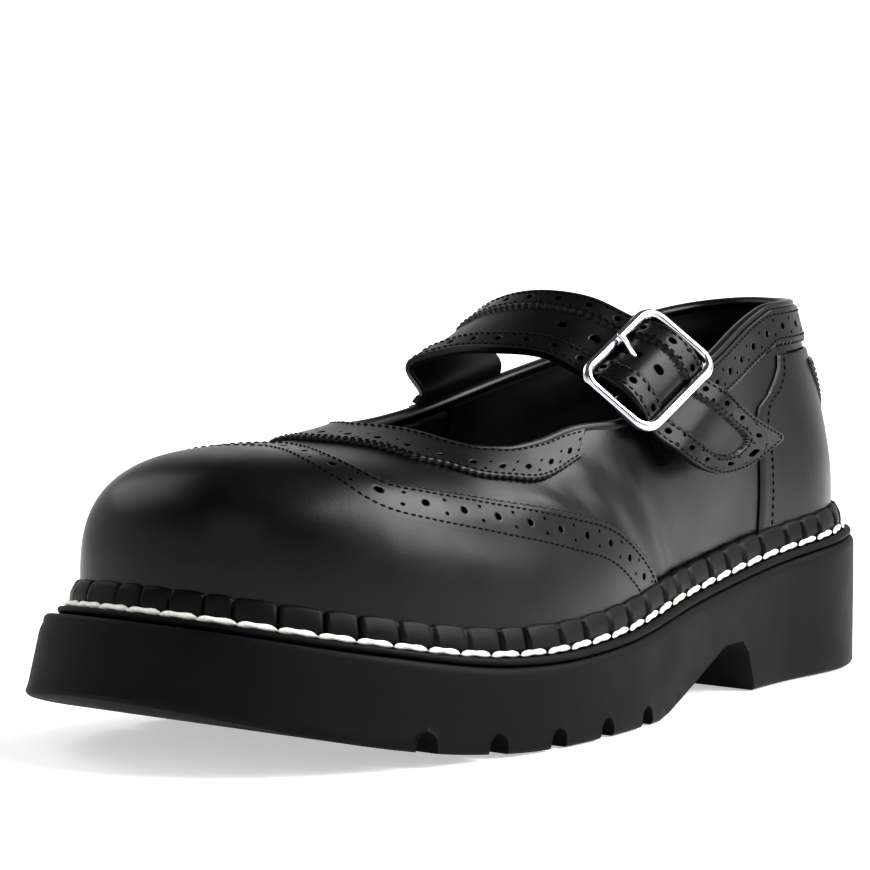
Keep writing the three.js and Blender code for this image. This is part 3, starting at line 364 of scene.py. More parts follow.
outer_rim, inner_rim = rim_line(TOPLINE_OUT), rim_line(TOPLINE_IN)
# the whole topline, from the heel along the outer side, round the throat and back: walk and climb up to 2
rim_s = np.r_[outer_rim[0], inner_rim[0][::-1][1:-1]]
rim_t = np.r_[outer_rim[1], 2 - inner_rim[1][::-1][1:-1]]


def even(s, t, spacing):
    """A line (walk, climb) resampled at an even spacing in millimetres."""
    d = arc(upper(s, t))
    at = np.linspace(0, d[-1], max(int(d[-1] / spacing), 2) + 1)
    return np.interp(at, d, s), np.interp(at, d, t)


# ------------------------------------------------------------------ meshes
WELD, SLIVER = 0.004, 0.002


def sheet_faces(rows, cols):
    """Faces of a closed sheet: an outer grid, an inner grid under it and walls round the border."""
    i, j = np.meshgrid(np.arange(rows - 1), np.arange(cols - 1), indexing="ij")
    a = (i * cols + j).ravel()
    quad = np.stack([a, a + 1, a + cols + 1, a + cols], 1)
    under = rows * cols
    border = np.r_[np.arange(cols), np.arange(2, rows + 1) * cols - 1,
                   rows * cols - 2 - np.arange(cols - 1), np.arange(rows - 2, 0, -1) * cols]
    nxt = np.roll(border, -1)
    wall = np.stack([border, nxt, nxt + under, border + under], 1)
    return np.r_[quad, quad[:, ::-1] + under, wall[:, ::-1]]


def ring_faces(rings, points, closed):
    """Faces of a section of points carried past rings places, capped at its ends unless it closes."""
    i, j = np.meshgrid(np.arange(rings if closed else rings - 1), np.arange(points), indexing="ij")
    i, j = i.ravel(), j.ravel()
    ahead, side = (i + 1) % rings, (j + 1) % points
    return np.stack([i * points + j, i * points + side, ahead * points + side, ahead * points + j], 1)


def build(name, points, faces, finish, slot, nodes=(), body="shoe", punch=None, crisp=50, blend=None):
    """Makes the mesh piece, welds it, turns its faces out and hangs it on its body (given blend, it bakes its
    transform instead). punch is, for each point, the place along and across a punched border and the
    border's pitch, for its leather to read."""
    mesh = bpy.data.meshes.new(name)
    points = np.reshape(points, (-1, 3)) * MM
    mesh.vertices.add(len(points))
    mesh.vertices.foreach_set("co", points.astype(np.float32).ravel())
    mesh.loops.add(faces.size)
    mesh.loops.foreach_set("vertex_index", faces.astype(np.int32).ravel())
    mesh.polygons.add(len(faces))
    mesh.polygons.foreach_set("loop_start", np.arange(0, faces.size, faces.shape[1], dtype=np.int32))
    mesh.update(calc_edges=True)
    if punch is not None:
        marks = mesh.attributes.new("punch", "FLOAT_VECTOR", "POINT")
        marks.data.foreach_set("vector", np.ravel(punch).astype(np.float32))
    bm = bmesh.new()
    bm.from_mesh(mesh)
    bmesh.ops.remove_doubles(bm, verts=bm.verts, dist=WELD * MM)
    bmesh.ops.dissolve_degenerate(bm, edges=bm.edges, dist=SLIVER * MM)
    open_edges = [e for e in bm.edges if e.is_boundary]
    if open_edges:
        bmesh.ops.holes_fill(bm, edges=open_edges, sides=0)
    bmesh.ops.recalc_face_normals(bm, faces=bm.faces)
    bm.to_mesh(mesh)
    bm.free()
    mesh.shade_smooth()
    mesh.set_sharp_from_angle(angle=math.radians(crisp))
    mesh.materials.append(finish)
    piece = bpy.data.objects.new(name, mesh)
    bpy.context.scene.collection.objects.link(piece)
    if blend:
        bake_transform(piece)
    else:
        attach(piece, body)
    if nodes:
        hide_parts(*nodes)
    return piece


def rounded(d, thick, radius=0.45):
    """Height of a sheet's face at distance d from its edge: thick, rounded down over the radius."""
    e = np.clip(radius - d, 0, radius)
    return thick - radius + np.sqrt(np.maximum(radius**2 - e**2, 0))


def tube(path, radius, sides=16, closed=False, up=(0, 0, 1)):
    """A round bar along a path: at each place a circle, square to the path, in the carried up direction."""
    path = np.asarray(path, float)
    run = np.roll(path, -1, 0) - np.roll(path, 1, 0) if closed else np.gradient(path, axis=0)
    run = unit(run)
    side = unit(np.cross(run, np.broadcast_to(up, run.shape)))
    lift = np.cross(side, run)
    w = np.arange(sides) / sides * TAU
    c, s = np.cos(w)[None, :, None], np.sin(w)[None, :, None]
    radius = np.reshape(radius, (-1, 1, 1))
    grid = path[:, None] + radius * (side[:, None] * c + lift[:, None] * s)
    return grid, ring_faces(len(path), sides, closed)


def along_line(at, d, values):
    """The values of a line, known at the distances d, at the distances at."""
    return np.stack([np.interp(at, d, values[:, k]) for k in range(values.shape[1])], 1)


def stitches(name, path, out, pitch, length, width, finish, slot, body="shoe", twist=0.0, slant=0.0,
             nodes=(), blend=None, rings=5, sides=6):
    """A row of stitches: one short bar, arched as 1 - u^4 and drawn in at its ends, repeated every pitch on
    a path and lying on its face; twist winds its two plies and slant lays it across the row."""
    d = arc(path)
    count = max(int(d[-1] / pitch), 1)
    at = (np.arange(count) + 0.5) * d[-1] / count
    middle = along_line(at, d, path)
    run = unit(along_line(at + 0.3, d, path) - along_line(at - 0.3, d, path))
    lift = unit(along_line(at, d, out))
    side = np.cross(lift, run)
    u, w = np.meshgrid(np.linspace(-1, 1, rings), np.arange(sides) / sides * TAU, indexing="ij")
    girth = np.sqrt(np.maximum(1 - np.abs(u) ** 3.5, 0.02))
    ply = 1 + 0.16 * np.cos(2 * (w - twist * u)) * (twist > 0)
    x = u * length / 2
    y = girth * ply * np.cos(w) * width / 2 + slant * u
    z = girth * ply * np.sin(w) * width / 2 + 0.28 * width * (1 - u**4) - 0.12 * width
    grid = (middle[:, None, None] + run[:, None, None] * x[..., None]
            + side[:, None, None] * y[..., None] + lift[:, None, None] * z[..., None])
    one = ring_faces(rings, sides, False)
    faces = (one[None] + (np.arange(count) * rings * sides)[:, None, None]).reshape(-1, 4)
    return build(name, grid, faces, finish, slot, nodes, body, crisp=80, blend=blend)


# ------------------------------------------------------------------ materials
BIG_HOLE, SMALL_HOLE, HOLES_APART = 0.98, 0.5, 2.1  # radii of a border's holes, and the small ones' place


def linear(hex_colour):
    """Linear RGBA of an sRGB hex colour."""
    c = np.array([int(hex_colour[i:i + 2], 16) for i in (1, 3, 5)]) / 255
    c = np.where(c <= 0.04045, c / 12.92, ((c + 0.055) / 1.055) ** 2.4)
    return (*c.tolist(), 1.0)


def add(tree, kind, out, inputs, **settings):
    """Adds a node and gives its output out. inputs are values, hex colours or the outputs that feed them, by
    socket or, in a list, in the sockets' order; settings are the node's own properties."""
    new = tree.nodes.new(kind)
    for key, value in settings.items():
        setattr(new, key, value)
    for key, value in inputs.items() if isinstance(inputs, dict) else enumerate(inputs):
        if isinstance(value, bpy.types.NodeSocket):
            tree.links.new(value, new.inputs[key])
        else:
            new.inputs[key].default_value = linear(value) if isinstance(value, str) else value
    return None if out is None else new.outputs[out]


def per_metre(size_mm):
    """Texture scale for features of that size."""
    return 1 / (size_mm * MM)


def new_material(name):
    """An empty material, its node tree and the piece's own coordinates in it."""
    finish = bpy.data.materials.new(name)
    finish.use_nodes = True
    tree = finish.node_tree
    tree.nodes.clear()
    return finish, tree, add(tree, "ShaderNodeTexCoord", "Object", {})


def surface(tree, inputs):
    """Closes a material: what inputs say goes to the Principled shader and from there to the output."""
    shader = add(tree, "ShaderNodeBsdfPrincipled", "BSDF", inputs)
    add(tree, "ShaderNodeOutputMaterial", None, {"Surface": shader})


def holes_of(tree, punch):
    """1 inside the holes of a punched border: a big one, then a pair of small ones, over and over."""
    along, across, pitch = (add(tree, "ShaderNodeSeparateXYZ", axis, [punch]) for axis in "XYZ")
    half = add(tree, "ShaderNodeMath", 0, [pitch, 0.5], operation="MULTIPLY")
    minus = add(tree, "ShaderNodeMath", 0, [pitch, -0.5], operation="MULTIPLY")
    later = add(tree, "ShaderNodeMath", 0, [along, half], operation="ADD")
    aside = add(tree, "ShaderNodeMath", 0, [across], operation="ABSOLUTE")
    apart = add(tree, "ShaderNodeMath", 0, [aside, HOLES_APART], operation="SUBTRACT")
    masks = []
    for where, beside, radius in ((along, across, BIG_HOLE), (later, apart, SMALL_HOLE)):
        repeated = add(tree, "ShaderNodeMath", 0, [where, half, minus], operation="WRAP")
        spot = add(tree, "ShaderNodeCombineXYZ", 0, [repeated, beside])
        away = add(tree, "ShaderNodeVectorMath", "Value", [spot], operation="LENGTH")
        masks.append(add(tree, "ShaderNodeMapRange", 0, [away, radius - 0.12, radius + 0.08, 1.0, 0.0]))
    either = add(tree, "ShaderNodeMath", 0, masks, operation="MAXIMUM")
    on = add(tree, "ShaderNodeMath", 0, [pitch, 0.5], operation="GREATER_THAN")
    return add(tree, "ShaderNodeMath", 0, [either, on], operation="MULTIPLY")


def calf(name, dark, light, rough, pore_mm, pore_depth, wrinkle_depth, shine):
    """Smooth dyed and polished leather: pores a little under a millimetre, drawn wider than real ones so
    that they show, over slow unevenness in height and gloss. Its punched holes are dull, with painted shade."""
    finish, tree, where = new_material(name)
    holes = holes_of(tree, add(tree, "ShaderNodeAttribute", "Vector", {}, attribute_name="punch"))
    slow = add(tree, "ShaderNodeTexNoise", "Fac", {"Vector": where, "Scale": per_metre(16), "Detail": 2.0})
    dyed = add(tree, "ShaderNodeMapRange", 0, [slow, 0.3, 0.7, 0.0, 1.0])
    leather = add(tree, "ShaderNodeMix", 2, {"Factor": dyed, 6: dark, 7: light}, data_type="RGBA")
    # painted shade: inside the punched holes the colour is near black, for the shade in them
    colour = add(tree, "ShaderNodeMix", 2, {"Factor": holes, 6: leather, 7: "#010101"}, data_type="RGBA")
    gloss = add(tree, "ShaderNodeMapRange", 0, [slow, 0.3, 0.7, *rough])
    roughness = add(tree, "ShaderNodeMix", 0, {"Factor": holes, "A": gloss, "B": 1.0})
    polish = add(tree, "ShaderNodeMix", 0, {"Factor": holes, "A": shine, "B": 0.0})
    soft = add(tree, "ShaderNodeBump", 0, {"Height": slow, "Distance": wrinkle_depth * MM, "Strength": 0.5})
    grain = add(tree, "ShaderNodeTexNoise", "Fac",
                {"Vector": where, "Scale": per_metre(pore_mm * 2.2), "Detail": 4.0})
    fine = add(tree, "ShaderNodeBump", 0,
               {"Height": grain, "Distance": pore_depth * 1.5 * MM, "Strength": 0.35, "Normal": soft})
    pores = add(tree, "ShaderNodeTexVoronoi", "Distance", {"Vector": where, "Scale": per_metre(pore_mm)},
                feature="F1")
    pored = add(tree, "ShaderNodeBump", 0,
                {"Height": pores, "Distance": pore_depth * MM, "Strength": 0.5, "Normal": fine})
    sunk = add(tree, "ShaderNodeBump", 0,
               {"Height": holes, "Distance": -0.35 * MM, "Strength": 1.0, "Normal": pored})
    surface(tree, {"Base Color": colour, "Roughness": roughness, "Normal": sunk,
                   "Specular IOR Level": polish})
    return finish


def moulded_rubber():
    """Black moulded rubber: matte, with a fine blasted grain and faint patches left by the mould."""
    finish, tree, where = new_material("moulded_black_rubber")
    cloud = add(tree, "ShaderNodeTexNoise", "Fac", {"Vector": where, "Scale": per_metre(22), "Detail": 3.0})
    patches = add(tree, "ShaderNodeMapRange", 0, [cloud, 0.3, 0.7, 0.0, 1.0])
    colour = add(tree, "ShaderNodeMix", 2, {"Factor": patches, 6: "#08080a", 7: "#0d0d0e"}, data_type="RGBA")
    roughness = add(tree, "ShaderNodeMapRange", 0, [patches, 0.0, 1.0, 0.52, 0.66])
    blasted = add(tree, "ShaderNodeTexNoise", "Fac",
                  {"Vector": where, "Scale": per_metre(0.8), "Detail": 2.0})
    grain = add(tree, "ShaderNodeBump", 0, {"Height": blasted, "Distance": 0.05 * MM, "Strength": 0.6})
    surface(tree, {"Base Color": colour, "Roughness": roughness, "Normal": grain, "Specular IOR Level": 0.1})
    return finish


def polished_chrome():
    """Chrome plate on a cast wire: a mirror, with hair scratches that blur it a little here and there."""
    finish, tree, where = new_material("polished_chrome")
    drawn = add(tree, "ShaderNodeMapping", "Vector", {"Vector": where, "Scale": (1.0, 6.0, 1.0)})
    scratches = add(tree, "ShaderNodeTexNoise", "Fac",
                    {"Vector": drawn, "Scale": per_metre(1.5), "Detail": 5.0})
    roughness = add(tree, "ShaderNodeMapRange", 0, [scratches, 0.3, 0.7, 0.05, 0.14])
    hairs = add(tree, "ShaderNodeBump", 0, {"Height": scratches, "Distance": 0.004 * MM, "Strength": 0.3})
    surface(tree, {"Base Color": "#c9cbcf", "Roughness": roughness, "Normal": hairs, "Metallic": 1.0})
    return finish


def grained(name, dark, light, grain_mm, depth_mm, rough, detail=5.0, metallic=0.0, shine=0.5):
    """Two tones and a relief that follow one grain of the material's own size."""
    finish, tree, where = new_material(name)
    grain = add(tree, "ShaderNodeTexNoise", "Fac",
                {"Vector": where, "Scale": per_metre(grain_mm), "Detail": detail})
    tone = add(tree, "ShaderNodeMapRange", 0, [grain, 0.3, 0.7, 0.0, 1.0])
    colour = add(tree, "ShaderNodeMix", 2, {"Factor": tone, 6: dark, 7: light}, data_type="RGBA")
    relief = add(tree, "ShaderNodeBump", 0, {"Height": grain, "Distance": depth_mm * MM, "Strength": 0.6})
    surface(tree, {"Base Color": colour, "Roughness": rough, "Normal": relief, "Metallic": metallic,
                   "Specular IOR Level": shine})
    return finish


# polished upper leather: soft broad sheen; the rand's is duller from pleating; the lining's is nearly matte
BOX_CALF = calf("black_box_calf", "#050506", "#08080a", (0.28, 0.37), 0.75, 0.022, 0.25, 0.2)
PUCKERED = calf("black_calf_rand", "#060607", "#0a0a0b", (0.4, 0.52), 0.6, 0.035, 0.4, 0.12)
LINING = calf("black_pigskin_lining", "#060606", "#0a0909", (0.55, 0.68), 1.1, 0.04, 0.3, 0.08)
RUBBER = moulded_rubber()
# twisted, waxed fibres: fine streaks of light and shade
WHITE_THREAD = grained("white_waxed_linen", "#cfccc4", "#f4f2ec", 0.5, 0.06, 0.55, detail=4.0, shine=0.1)
BLACK_THREAD = grained("black_bonded_nylon", "#030303", "#060607", 0.4, 0.06, 0.75, detail=4.0, shine=0.1)
CHROME = polished_chrome()
# the hidden pieces: crumbs, pressed fibres, a satin steel, a coarse stiff weave and open pores
CORK = grained("ground_cork", "#5d3f22", "#a67c4c", 1.8, 0.3, 0.9)
BOARD = grained("pressed_fibre_board", "#5e4126", "#7d5b38", 1.2, 0.1, 0.85)
STEEL = grained("tempered_spring_steel", "#6f757c", "#8f949a", 0.7, 0.01, 0.35, metallic=1.0)
CANVAS = grained("starched_canvas", "#b09c74", "#d0c09a", 0.9, 0.12, 0.9)
FOAM = grained("open_cell_foam", "#2c2926", "#45403a", 1.0, 0.3, 0.95)


# ------------------------------------------------------------------ camera, light and floor
CAMERA_TURN, CAMERA_RISE, CAMERA_ROLL = 38.7, 5.71, 0.4  # degrees
CAMERA_AIM, CAMERA_AWAY = np.array([8.65, -44.75, 61.1]), 1006.4
LENS, LENS_SHIFT = 156.4, (0.0068, 0.0737)
FLOOR_HALF = 6.0  # metres


def at_view(azimuth, elevation):
    """Direction from the shoe to a viewer; azimuth 0 looks at the toe and 90 at the outer side."""
    a, e = math.radians(azimuth), math.radians(elevation)
    return np.array([math.sin(a) * math.cos(e), -math.cos(a) * math.cos(e), math.sin(e)])


def facing(right, up, back, spot):
    """Matrix of something at spot that looks away from back."""
    turned = np.eye(4)
    turned[:3] = np.stack([right, up, back, spot], 1)
    return Matrix(turned.tolist())


def make_camera():
    """A long lens low in front of the outer side of the toe."""
    back = at_view(CAMERA_TURN, CAMERA_RISE)
    right = unit(np.cross([0, 0, 1.0], back))
    up = np.cross(back, right)
    roll = math.radians(CAMERA_ROLL)
    right, up = right * math.cos(roll) + up * math.sin(roll), up * math.cos(roll) - right * math.sin(roll)
    data = bpy.data.cameras.new("camera")
    data.sensor_width, data.lens = 36.0, LENS
    data.shift_x, data.shift_y = LENS_SHIFT
    data.clip_start, data.clip_end = 0.05, 20
    camera = bpy.data.objects.new("camera", data)
    camera.matrix_world = facing(right, up, back, (CAMERA_AIM + back * CAMERA_AWAY) * MM)
    bpy.context.scene.collection.objects.link(camera)
    bpy.context.scene.camera = camera


def softbox(name, azimuth, elevation, distance, size, power):
    """A soft rectangular lamp that faces the shoe from that side."""
    data = bpy.data.lights.new(name, "AREA")
    data.shape, data.size, data.size_y = "RECTANGLE", *size
    data.energy = power
    lamp = bpy.data.objects.new(name, data)
    back = at_view(azimuth, elevation)
    side = unit(np.cross([0, 0, 1.0], back))
    lamp.matrix_world = facing(side, np.cross(back, side), back, back * distance + [0, 0, 0.05])
    bpy.context.scene.collection.objects.link(lamp)


def make_floor():
    """White paper, a wide sheet just under the shoe, with painted light: it glows, and more the further out
    it lies, so that only the shoe's own shadow shows on it."""
    finish, tree, where = new_material("white_paper")
    fibres = add(tree, "ShaderNodeTexNoise", "Fac", {"Vector": where, "Scale": per_metre(3.0), "Detail": 2.0})
    colour = add(tree, "ShaderNodeMix", 2, {"Factor": fibres, 6: "#e8e8e8", 7: "#f2f2f2"}, data_type="RGBA")
    away = add(tree, "ShaderNodeVectorMath", "Value", [where], operation="LENGTH")
    # painted light: the paper's glow, weaker near the shoe and full further out
    glow = add(tree, "ShaderNodeMapRange", 0, [away, 0.25, 1.1, 0.42, 1.0])
    surface(tree, {"Base Color": colour, "Roughness": 0.95, "Specular IOR Level": 0.0,
                   "Emission Color": "#ffffff", "Emission Strength": glow})
    mesh = bpy.data.meshes.new("floor")
    corners = [(-FLOOR_HALF, -FLOOR_HALF, 0), (FLOOR_HALF, -FLOOR_HALF, 0), (FLOOR_HALF, FLOOR_HALF, 0),
               (-FLOOR_HALF, FLOOR_HALF, 0)]
    mesh.from_pydata(corners, [], [(0, 1, 2, 3)])
    mesh.materials.append(finish)
    floor = bpy.data.objects.new("floor", mesh)
    floor.location.z = -0.0004
    bpy.context.scene.collection.objects.link(floor)


def make_world():
    """A white room that darkens towards its ceiling."""
    world = bpy.data.worlds.new("studio")
    world.use_nodes = True
    tree = world.node_tree
    tree.nodes.clear()
    height = add(tree, "ShaderNodeSeparateXYZ", "Z", [add(tree, "ShaderNodeTexCoord", "Generated", {})])
    low, high = math.sin(math.radians(14)), math.sin(math.radians(34))
    strength = add(tree, "ShaderNodeMapRange", 0, [height, low, high, 1.05, 0.12])
    room = add(tree, "ShaderNodeBackground", "Background", {"Color": "#ffffff", "Strength": strength})
    add(tree, "ShaderNodeOutputWorld", None, {"Surface": room})
    bpy.context.scene.world = world
    bpy.context.scene.view_settings.view_transform = "Standard"
    bpy.context.scene.view_settings.look = "Medium High Contrast"


make_camera()
make_floor()
make_world()
softbox("overhead_rear", 128, 50, 1.1, (1.0, 0.55), 18)
softbox("front_fill", 20, 35, 1.6, (1.2, 0.8), 3)
softbox("inner_side", -80, 40, 1.4, (0.9, 0.7), 5)
softbox("low_side", 116, 26, 1.2, (0.7, 0.4), 8)


# ------------------------------------------------------------------ outsole and welt
LUGS_AT = (250.5, 226.5, 204.0, 181.5, 159.0)
SHOULDER_IN, SHOULDER_DOWN = 1.6, 2.4  # the rounding of the outsole's top edge
WELT_STATIONS = 691
# places ahead and heights of the sole's underside, from the heel's breast to the ball
ARCH = [(85.5, 0), (89.4, 0.75 * BREAST_RISE), (93.3, BREAST_RISE), (105, BREAST_RISE),
        (125.5, BREAST_RISE / 2), (150, 0)]


def slab(name, loops, heights, stations, finish, slot, nodes, floor_profile=None):
    """A block lofted along the shoe: each outline of loops lies at the height of the same entry of heights,
    bottom first, and stations are shares of its length. floor_profile lifts what lies lower."""
    left, right = [], []
    for loop, height in zip(loops, heights):
        out_a, out_x = chain(loop, 1)
        in_a, in_x = chain(loop, -1)
        a = out_a[0] + (out_a[-1] - out_a[0]) * stations
        z = height(a)
        if floor_profile is not None:
            z = np.maximum(z, floor_profile)
        right.append(place(np.interp(a, out_a, out_x), a, z))
        left.append(place(np.interp(a, in_a, in_x), a, z))
    grid = np.stack(left[::-1] + right, 1)
    return build(name, grid, ring_faces(grid.shape[0], grid.shape[1], False), finish, slot, nodes)


def sole_stations():
    """Shares of the length, close at both ends, doubled at each lug slot's sides, with the slot's height."""
    even_share = (1 - np.cos(np.linspace(0, math.pi, 150))) / 2
    length = SOLE_LENGTH + WALL_FLARE + SOLE_FLARE + WALL_FLARE
    share = lambda a: (np.asarray(a, float) + WALL_FLARE) / length
    cuts_a, cuts_z = [], []
    half = LUG_WIDTH / 2
    for at in LUGS_AT:
        w = np.linspace(math.pi, 0, 13)
        a = at + half * np.cos(w)
        z = sole_foot(a) + LUG_DEPTH - half + half * np.sin(w)
        cuts_a += [[at - half - 0.01], a, [at + half + 0.01]]
        cuts_z += [[0.0], z, [0.0]]
    arch_a, arch_z = np.array(ARCH, float).T
    cuts_a.append(arch_a)
    cuts_z.append(arch_z)
    cuts_a, cuts_z = np.concatenate(cuts_a), np.concatenate(cuts_z)
    plain = even_share * length - WALL_FLARE
    free = np.ones(len(plain), bool)
    for at in LUGS_AT:
        free &= np.abs(plain - at) > half + 0.3
    plain = plain[free]
    a = np.r_[plain, cuts_a]
    z = np.r_[np.interp(plain, arch_a, arch_z, left=0, right=0), cuts_z]
    order = np.argsort(a, kind="stable")
    return share(a[order]), z[order]


def make_outsole():
    """Rubber block: its wall flares at the toe, a quarter ellipse rounds its top and a bevel its foot."""
    flare = WALL_FLARE + SOLE_FLARE * np.clip((EDGE[:, 1] / SOLE_LENGTH - 0.767) / 0.233, 0, 1)
    share, z = sole_stations()
    bevel = [(1.0, 0.0), (0.45, 0.3), (0.0, 1.1)]  # in and up, from the tread
    loops = [inset(EDGE, -flare + d) for d, _ in bevel]
    heights = [lambda a, up=up: sole_foot(a) + up for _, up in bevel]
    for part in np.linspace(0.15, 0.8, 5):
        loops.append(inset(EDGE, -flare * (1 - part)))
        heights.append(lambda a, part=part: sole_foot(a) + (sole_top(a) - sole_foot(a)) * part)
    for w in np.linspace(0, math.pi / 2, 6):
        d, down = SHOULDER_IN * (1 - math.cos(w)), SHOULDER_DOWN * (1 - math.sin(w))
        loops.append(inset(EDGE, d))
        heights.append(lambda a, down=down: sole_top(a) - down)
    slab("outsole_rubber", loops, heights, share, RUBBER, "black_rubber", ["outsole"], z)


def round_sole(d, up, pick):
    """A line round the sole at the places of EDGE picked, d in from its edge and up over its top."""
    loop = inset(EDGE, toeward(0, EDGE[:, 1]) + d)[pick]
    return place(loop[:, 0], loop[:, 1], sole_top(loop[:, 1]) + up)


def make_welt():
    """Flat strip of rubber with a rounded outer edge and a shallow groove for its thread."""
    w = np.linspace(-math.pi / 2, math.pi / 2, 9)
    r = (WELT_TOP - GAP) / 2
    nose = [(WELT_EDGE + r - r * math.cos(x), GAP + r + r * math.sin(x)) for x in w]
    dip = ((-1.4, 0), (-0.7, 0.35), (0, 0.5), (0.7, 0.35), (1.4, 0))
    groove = [(THREAD_IN + d, WELT_TOP - deep) for d, deep in dip]
    back = WELT_EDGE + WELT_WIDTH
    pick = np.linspace(0, OUTLINE_STEPS, WELT_STATIONS, endpoint=False).astype(int)
    section = [*nose, *groove, (back, WELT_TOP), (back, GAP)]
    grid = np.stack([round_sole(d, up, pick) for d, up in section], 1)
    build("welt_strip", grid, ring_faces(len(pick), len(section), True), RUBBER, "black_rubber", ["welt"])


def make_welt_stitches():
    """Thick white stitches, each a little longer than its pitch and slanted, so that it laps the next."""
    path = round_sole(THREAD_IN, WELT_TOP + THREAD * 0.42, np.arange(0, OUTLINE_STEPS, 6))
    path = np.r_[path, path[:1]]
    out = np.broadcast_to([0.0, 0.0, 1.0], path.shape)
    stitches("welt_stitches", path, out, 10.2, 10.6, THREAD, WHITE_THREAD, "white_thread", twist=2.6,
             slant=0.42, nodes=["welt_thread"], rings=13, sides=12)


PLEATS, PLEAT_LENGTHS = 65, (9.5, 16.0)


def make_rand():
    """Rolled leather strip round the upper's foot, drawn into pleats: between two creases it swells, at a
    crease its face is pulled in and its top edge dips."""
    pick = np.arange(0, OUTLINE_STEPS, 3)
    line = EDGE[pick]
    d = arc(np.r_[line, line[:1]])
    total, d = d[-1], d[:-1]
    pleats = rng.uniform(*PLEAT_LENGTHS, PLEATS)
    crease = np.r_[0, np.cumsum(pleats) * total / pleats.sum()]
    i = np.clip(np.searchsorted(crease, d, side="right") - 1, 0, len(crease) - 2)
    share = (d - crease[i]) / (crease[i + 1] - crease[i])
    deep = rng.uniform(0.55, 1.25, len(crease))
    deep[-1] = deep[0]
    near = np.minimum(d - crease[i], crease[i + 1] - d)
    depth = np.where(share < 0.5, deep[i], deep[i + 1])
    pinch = depth * np.exp(-((near / np.where(share < 0.5, 0.7, 0.3)) ** 2))
    swell = 0.2 * np.sin(math.pi * share) + 0.75 * share**4
    tip = 0.5 * np.sin(math.pi * share) ** 0.7 - 0.5 * pinch
    rings = []
    # the face leans in from the thread to the upper
    for w in np.linspace(0, 1, 15):
        bulge = math.sin(math.pi * (w * 0.92 + 0.04)) ** 0.6
        push = 0.9 * bulge + swell * bulge - 1.15 * pinch * (0.35 + 0.65 * bulge)
        loop = inset(EDGE, toeward(0, EDGE[:, 1]) + 5.1 + 1.1 * w**1.5)
        p = loop[pick] - unit(loop - EDGE)[pick] * push[:, None]
        up = WELT_TOP + (RAND_HEIGHT - WELT_TOP) * w
        rings.append(place(p[:, 0], p[:, 1], sole_top(loop[pick, 1]) + up + tip * w**2))
    # and rolls over at its top, down behind
    for back_in, up, share_of_tip in ((6.9, RAND_HEIGHT + 0.35, 1.0), (7.6, RAND_HEIGHT + 0.1, 0.8),
                                      (8.0, RAND_HEIGHT - 1.2, 0.4), (8.0, WELT_TOP, 0.0)):
        rings.append(round_sole(back_in, up + tip * share_of_tip, pick))
    grid = np.stack(rings, 1)
    build("puckered_rand", grid, ring_faces(len(pick), grid.shape[1], True), PUCKERED, "black_leather",
          ["rand"], crisp=75)


# ------------------------------------------------------------------ the upper's panels
TOOTH, TOOTH_PITCH = 0.5, 2.3  # the gimped edges' teeth
HOLE_PITCH, BAND_PITCH, HOLE_DEPTH = 11.5, 9.6, 0.7
STITCH_PITCH, STITCH_LENGTH, STITCH_WIDTH = 2.2, 1.75, 0.5


def teeth(d):
    """Zigzag of a gimped edge: a triangle wave along the distance d."""
    return TOOTH * (2 * np.abs(np.mod(d / TOOTH_PITCH, 1) * 2 - 1) - 1)


def dimples(punch):
    """How far each point is sunk in a punched border's big holes, 0 to 1."""
    along, across, pitch = np.moveaxis(punch, -1, 0)
    safe = np.maximum(pitch, 1)
    away = np.hypot(np.mod(along + safe / 2, safe) - safe / 2, across)
    return (1 - step_up(away, BIG_HOLE * 0.45, BIG_HOLE)) * (pitch > 0.5)


def pattern(along, across, on, pitch=HOLE_PITCH):
    """Places in a punched border as build() takes them; across is 0 on the row of big holes."""
    return np.stack(np.broadcast_arrays(along, across, np.where(on, pitch, 0.0)), -1)


def seam(name, path, out, body="shoe", blend=None):
    """A row of the upper's fine black stitches."""
    stitches(name, path, out, STITCH_PITCH, STITCH_LENGTH, STITCH_WIDTH, BLACK_THREAD, "black_leather", body,
             blend=blend)


def panel(name, grid, low, high, nodes, punch=None, edges=None, finish=BOX_CALF, slot="black_leather"):
    """A sheet over a grid of surface points: low and high are its faces' heights, edges the distance of each
    point from the nearest free edge, punch its place in a punched border."""
    n = normals(grid)
    thick = high - low
    top = np.full(grid.shape[:2], thick) if edges is None else rounded(edges, thick)
    marks = None
    if punch is not None:
        top = top - HOLE_DEPTH * dimples(punch)
        marks = np.stack([punch, 0 * punch])
    outer = grid + n * (low + top)[..., None]
    build(name, np.stack([outer, grid + n * low]), sheet_faces(*grid.shape[:2]), finish, slot, nodes,
          punch=marks, crisp=60)
    return outer, n


def march(s, t, distances, ahead):
    """Lines offset over the surface from the edge (s, t), square to it, at the given distances; ahead turns
    towards the toe. The direction is averaged along the edge, so that lines don't cross at a peak."""
    edge = upper(s, t)
    run = unit(np.gradient(edge, axis=0))
    out = normal_at(s, t)
    step = unit(np.cross(out, run))
    if np.mean(step[:, 1]) * (-1 if ahead else 1) < 0:
        step = -step
    step = soften(step, 34)
    step = unit(step - out * np.sum(step * out, -1, keepdims=True))
    lines, p, done = [], edge, 0.0
    for d in distances:
        if d > done:
            p, n = nearest(p + step * (d - done))
            step = unit(step - n * np.sum(step * n, -1, keepdims=True))
            done = d
        lines.append(p)
    return np.stack(lines)


# climbs and places ahead of the wing cap's edge, from the rand to the ridge
WING = [(-0.07, 133), (0, 138), (0.1, 150), (0.22, 166), (0.31, 184), (0.385, 200), (0.44, 214), (0.49, 228),
        (0.55, 240), (0.66, 245), (0.8, 245), (0.92, 240), (1, 236)]
WING_STEP, SEAM_STEP = 0.42, 0.45  # spacing of the points along the wing cap's edge and the bands'
LIFT = 0.05  # the overlaid panels' backs lie this far off the leather under them
BAND_WIDE, HOLES_IN, ROW_IN = 10.6, 5.4, 1.7


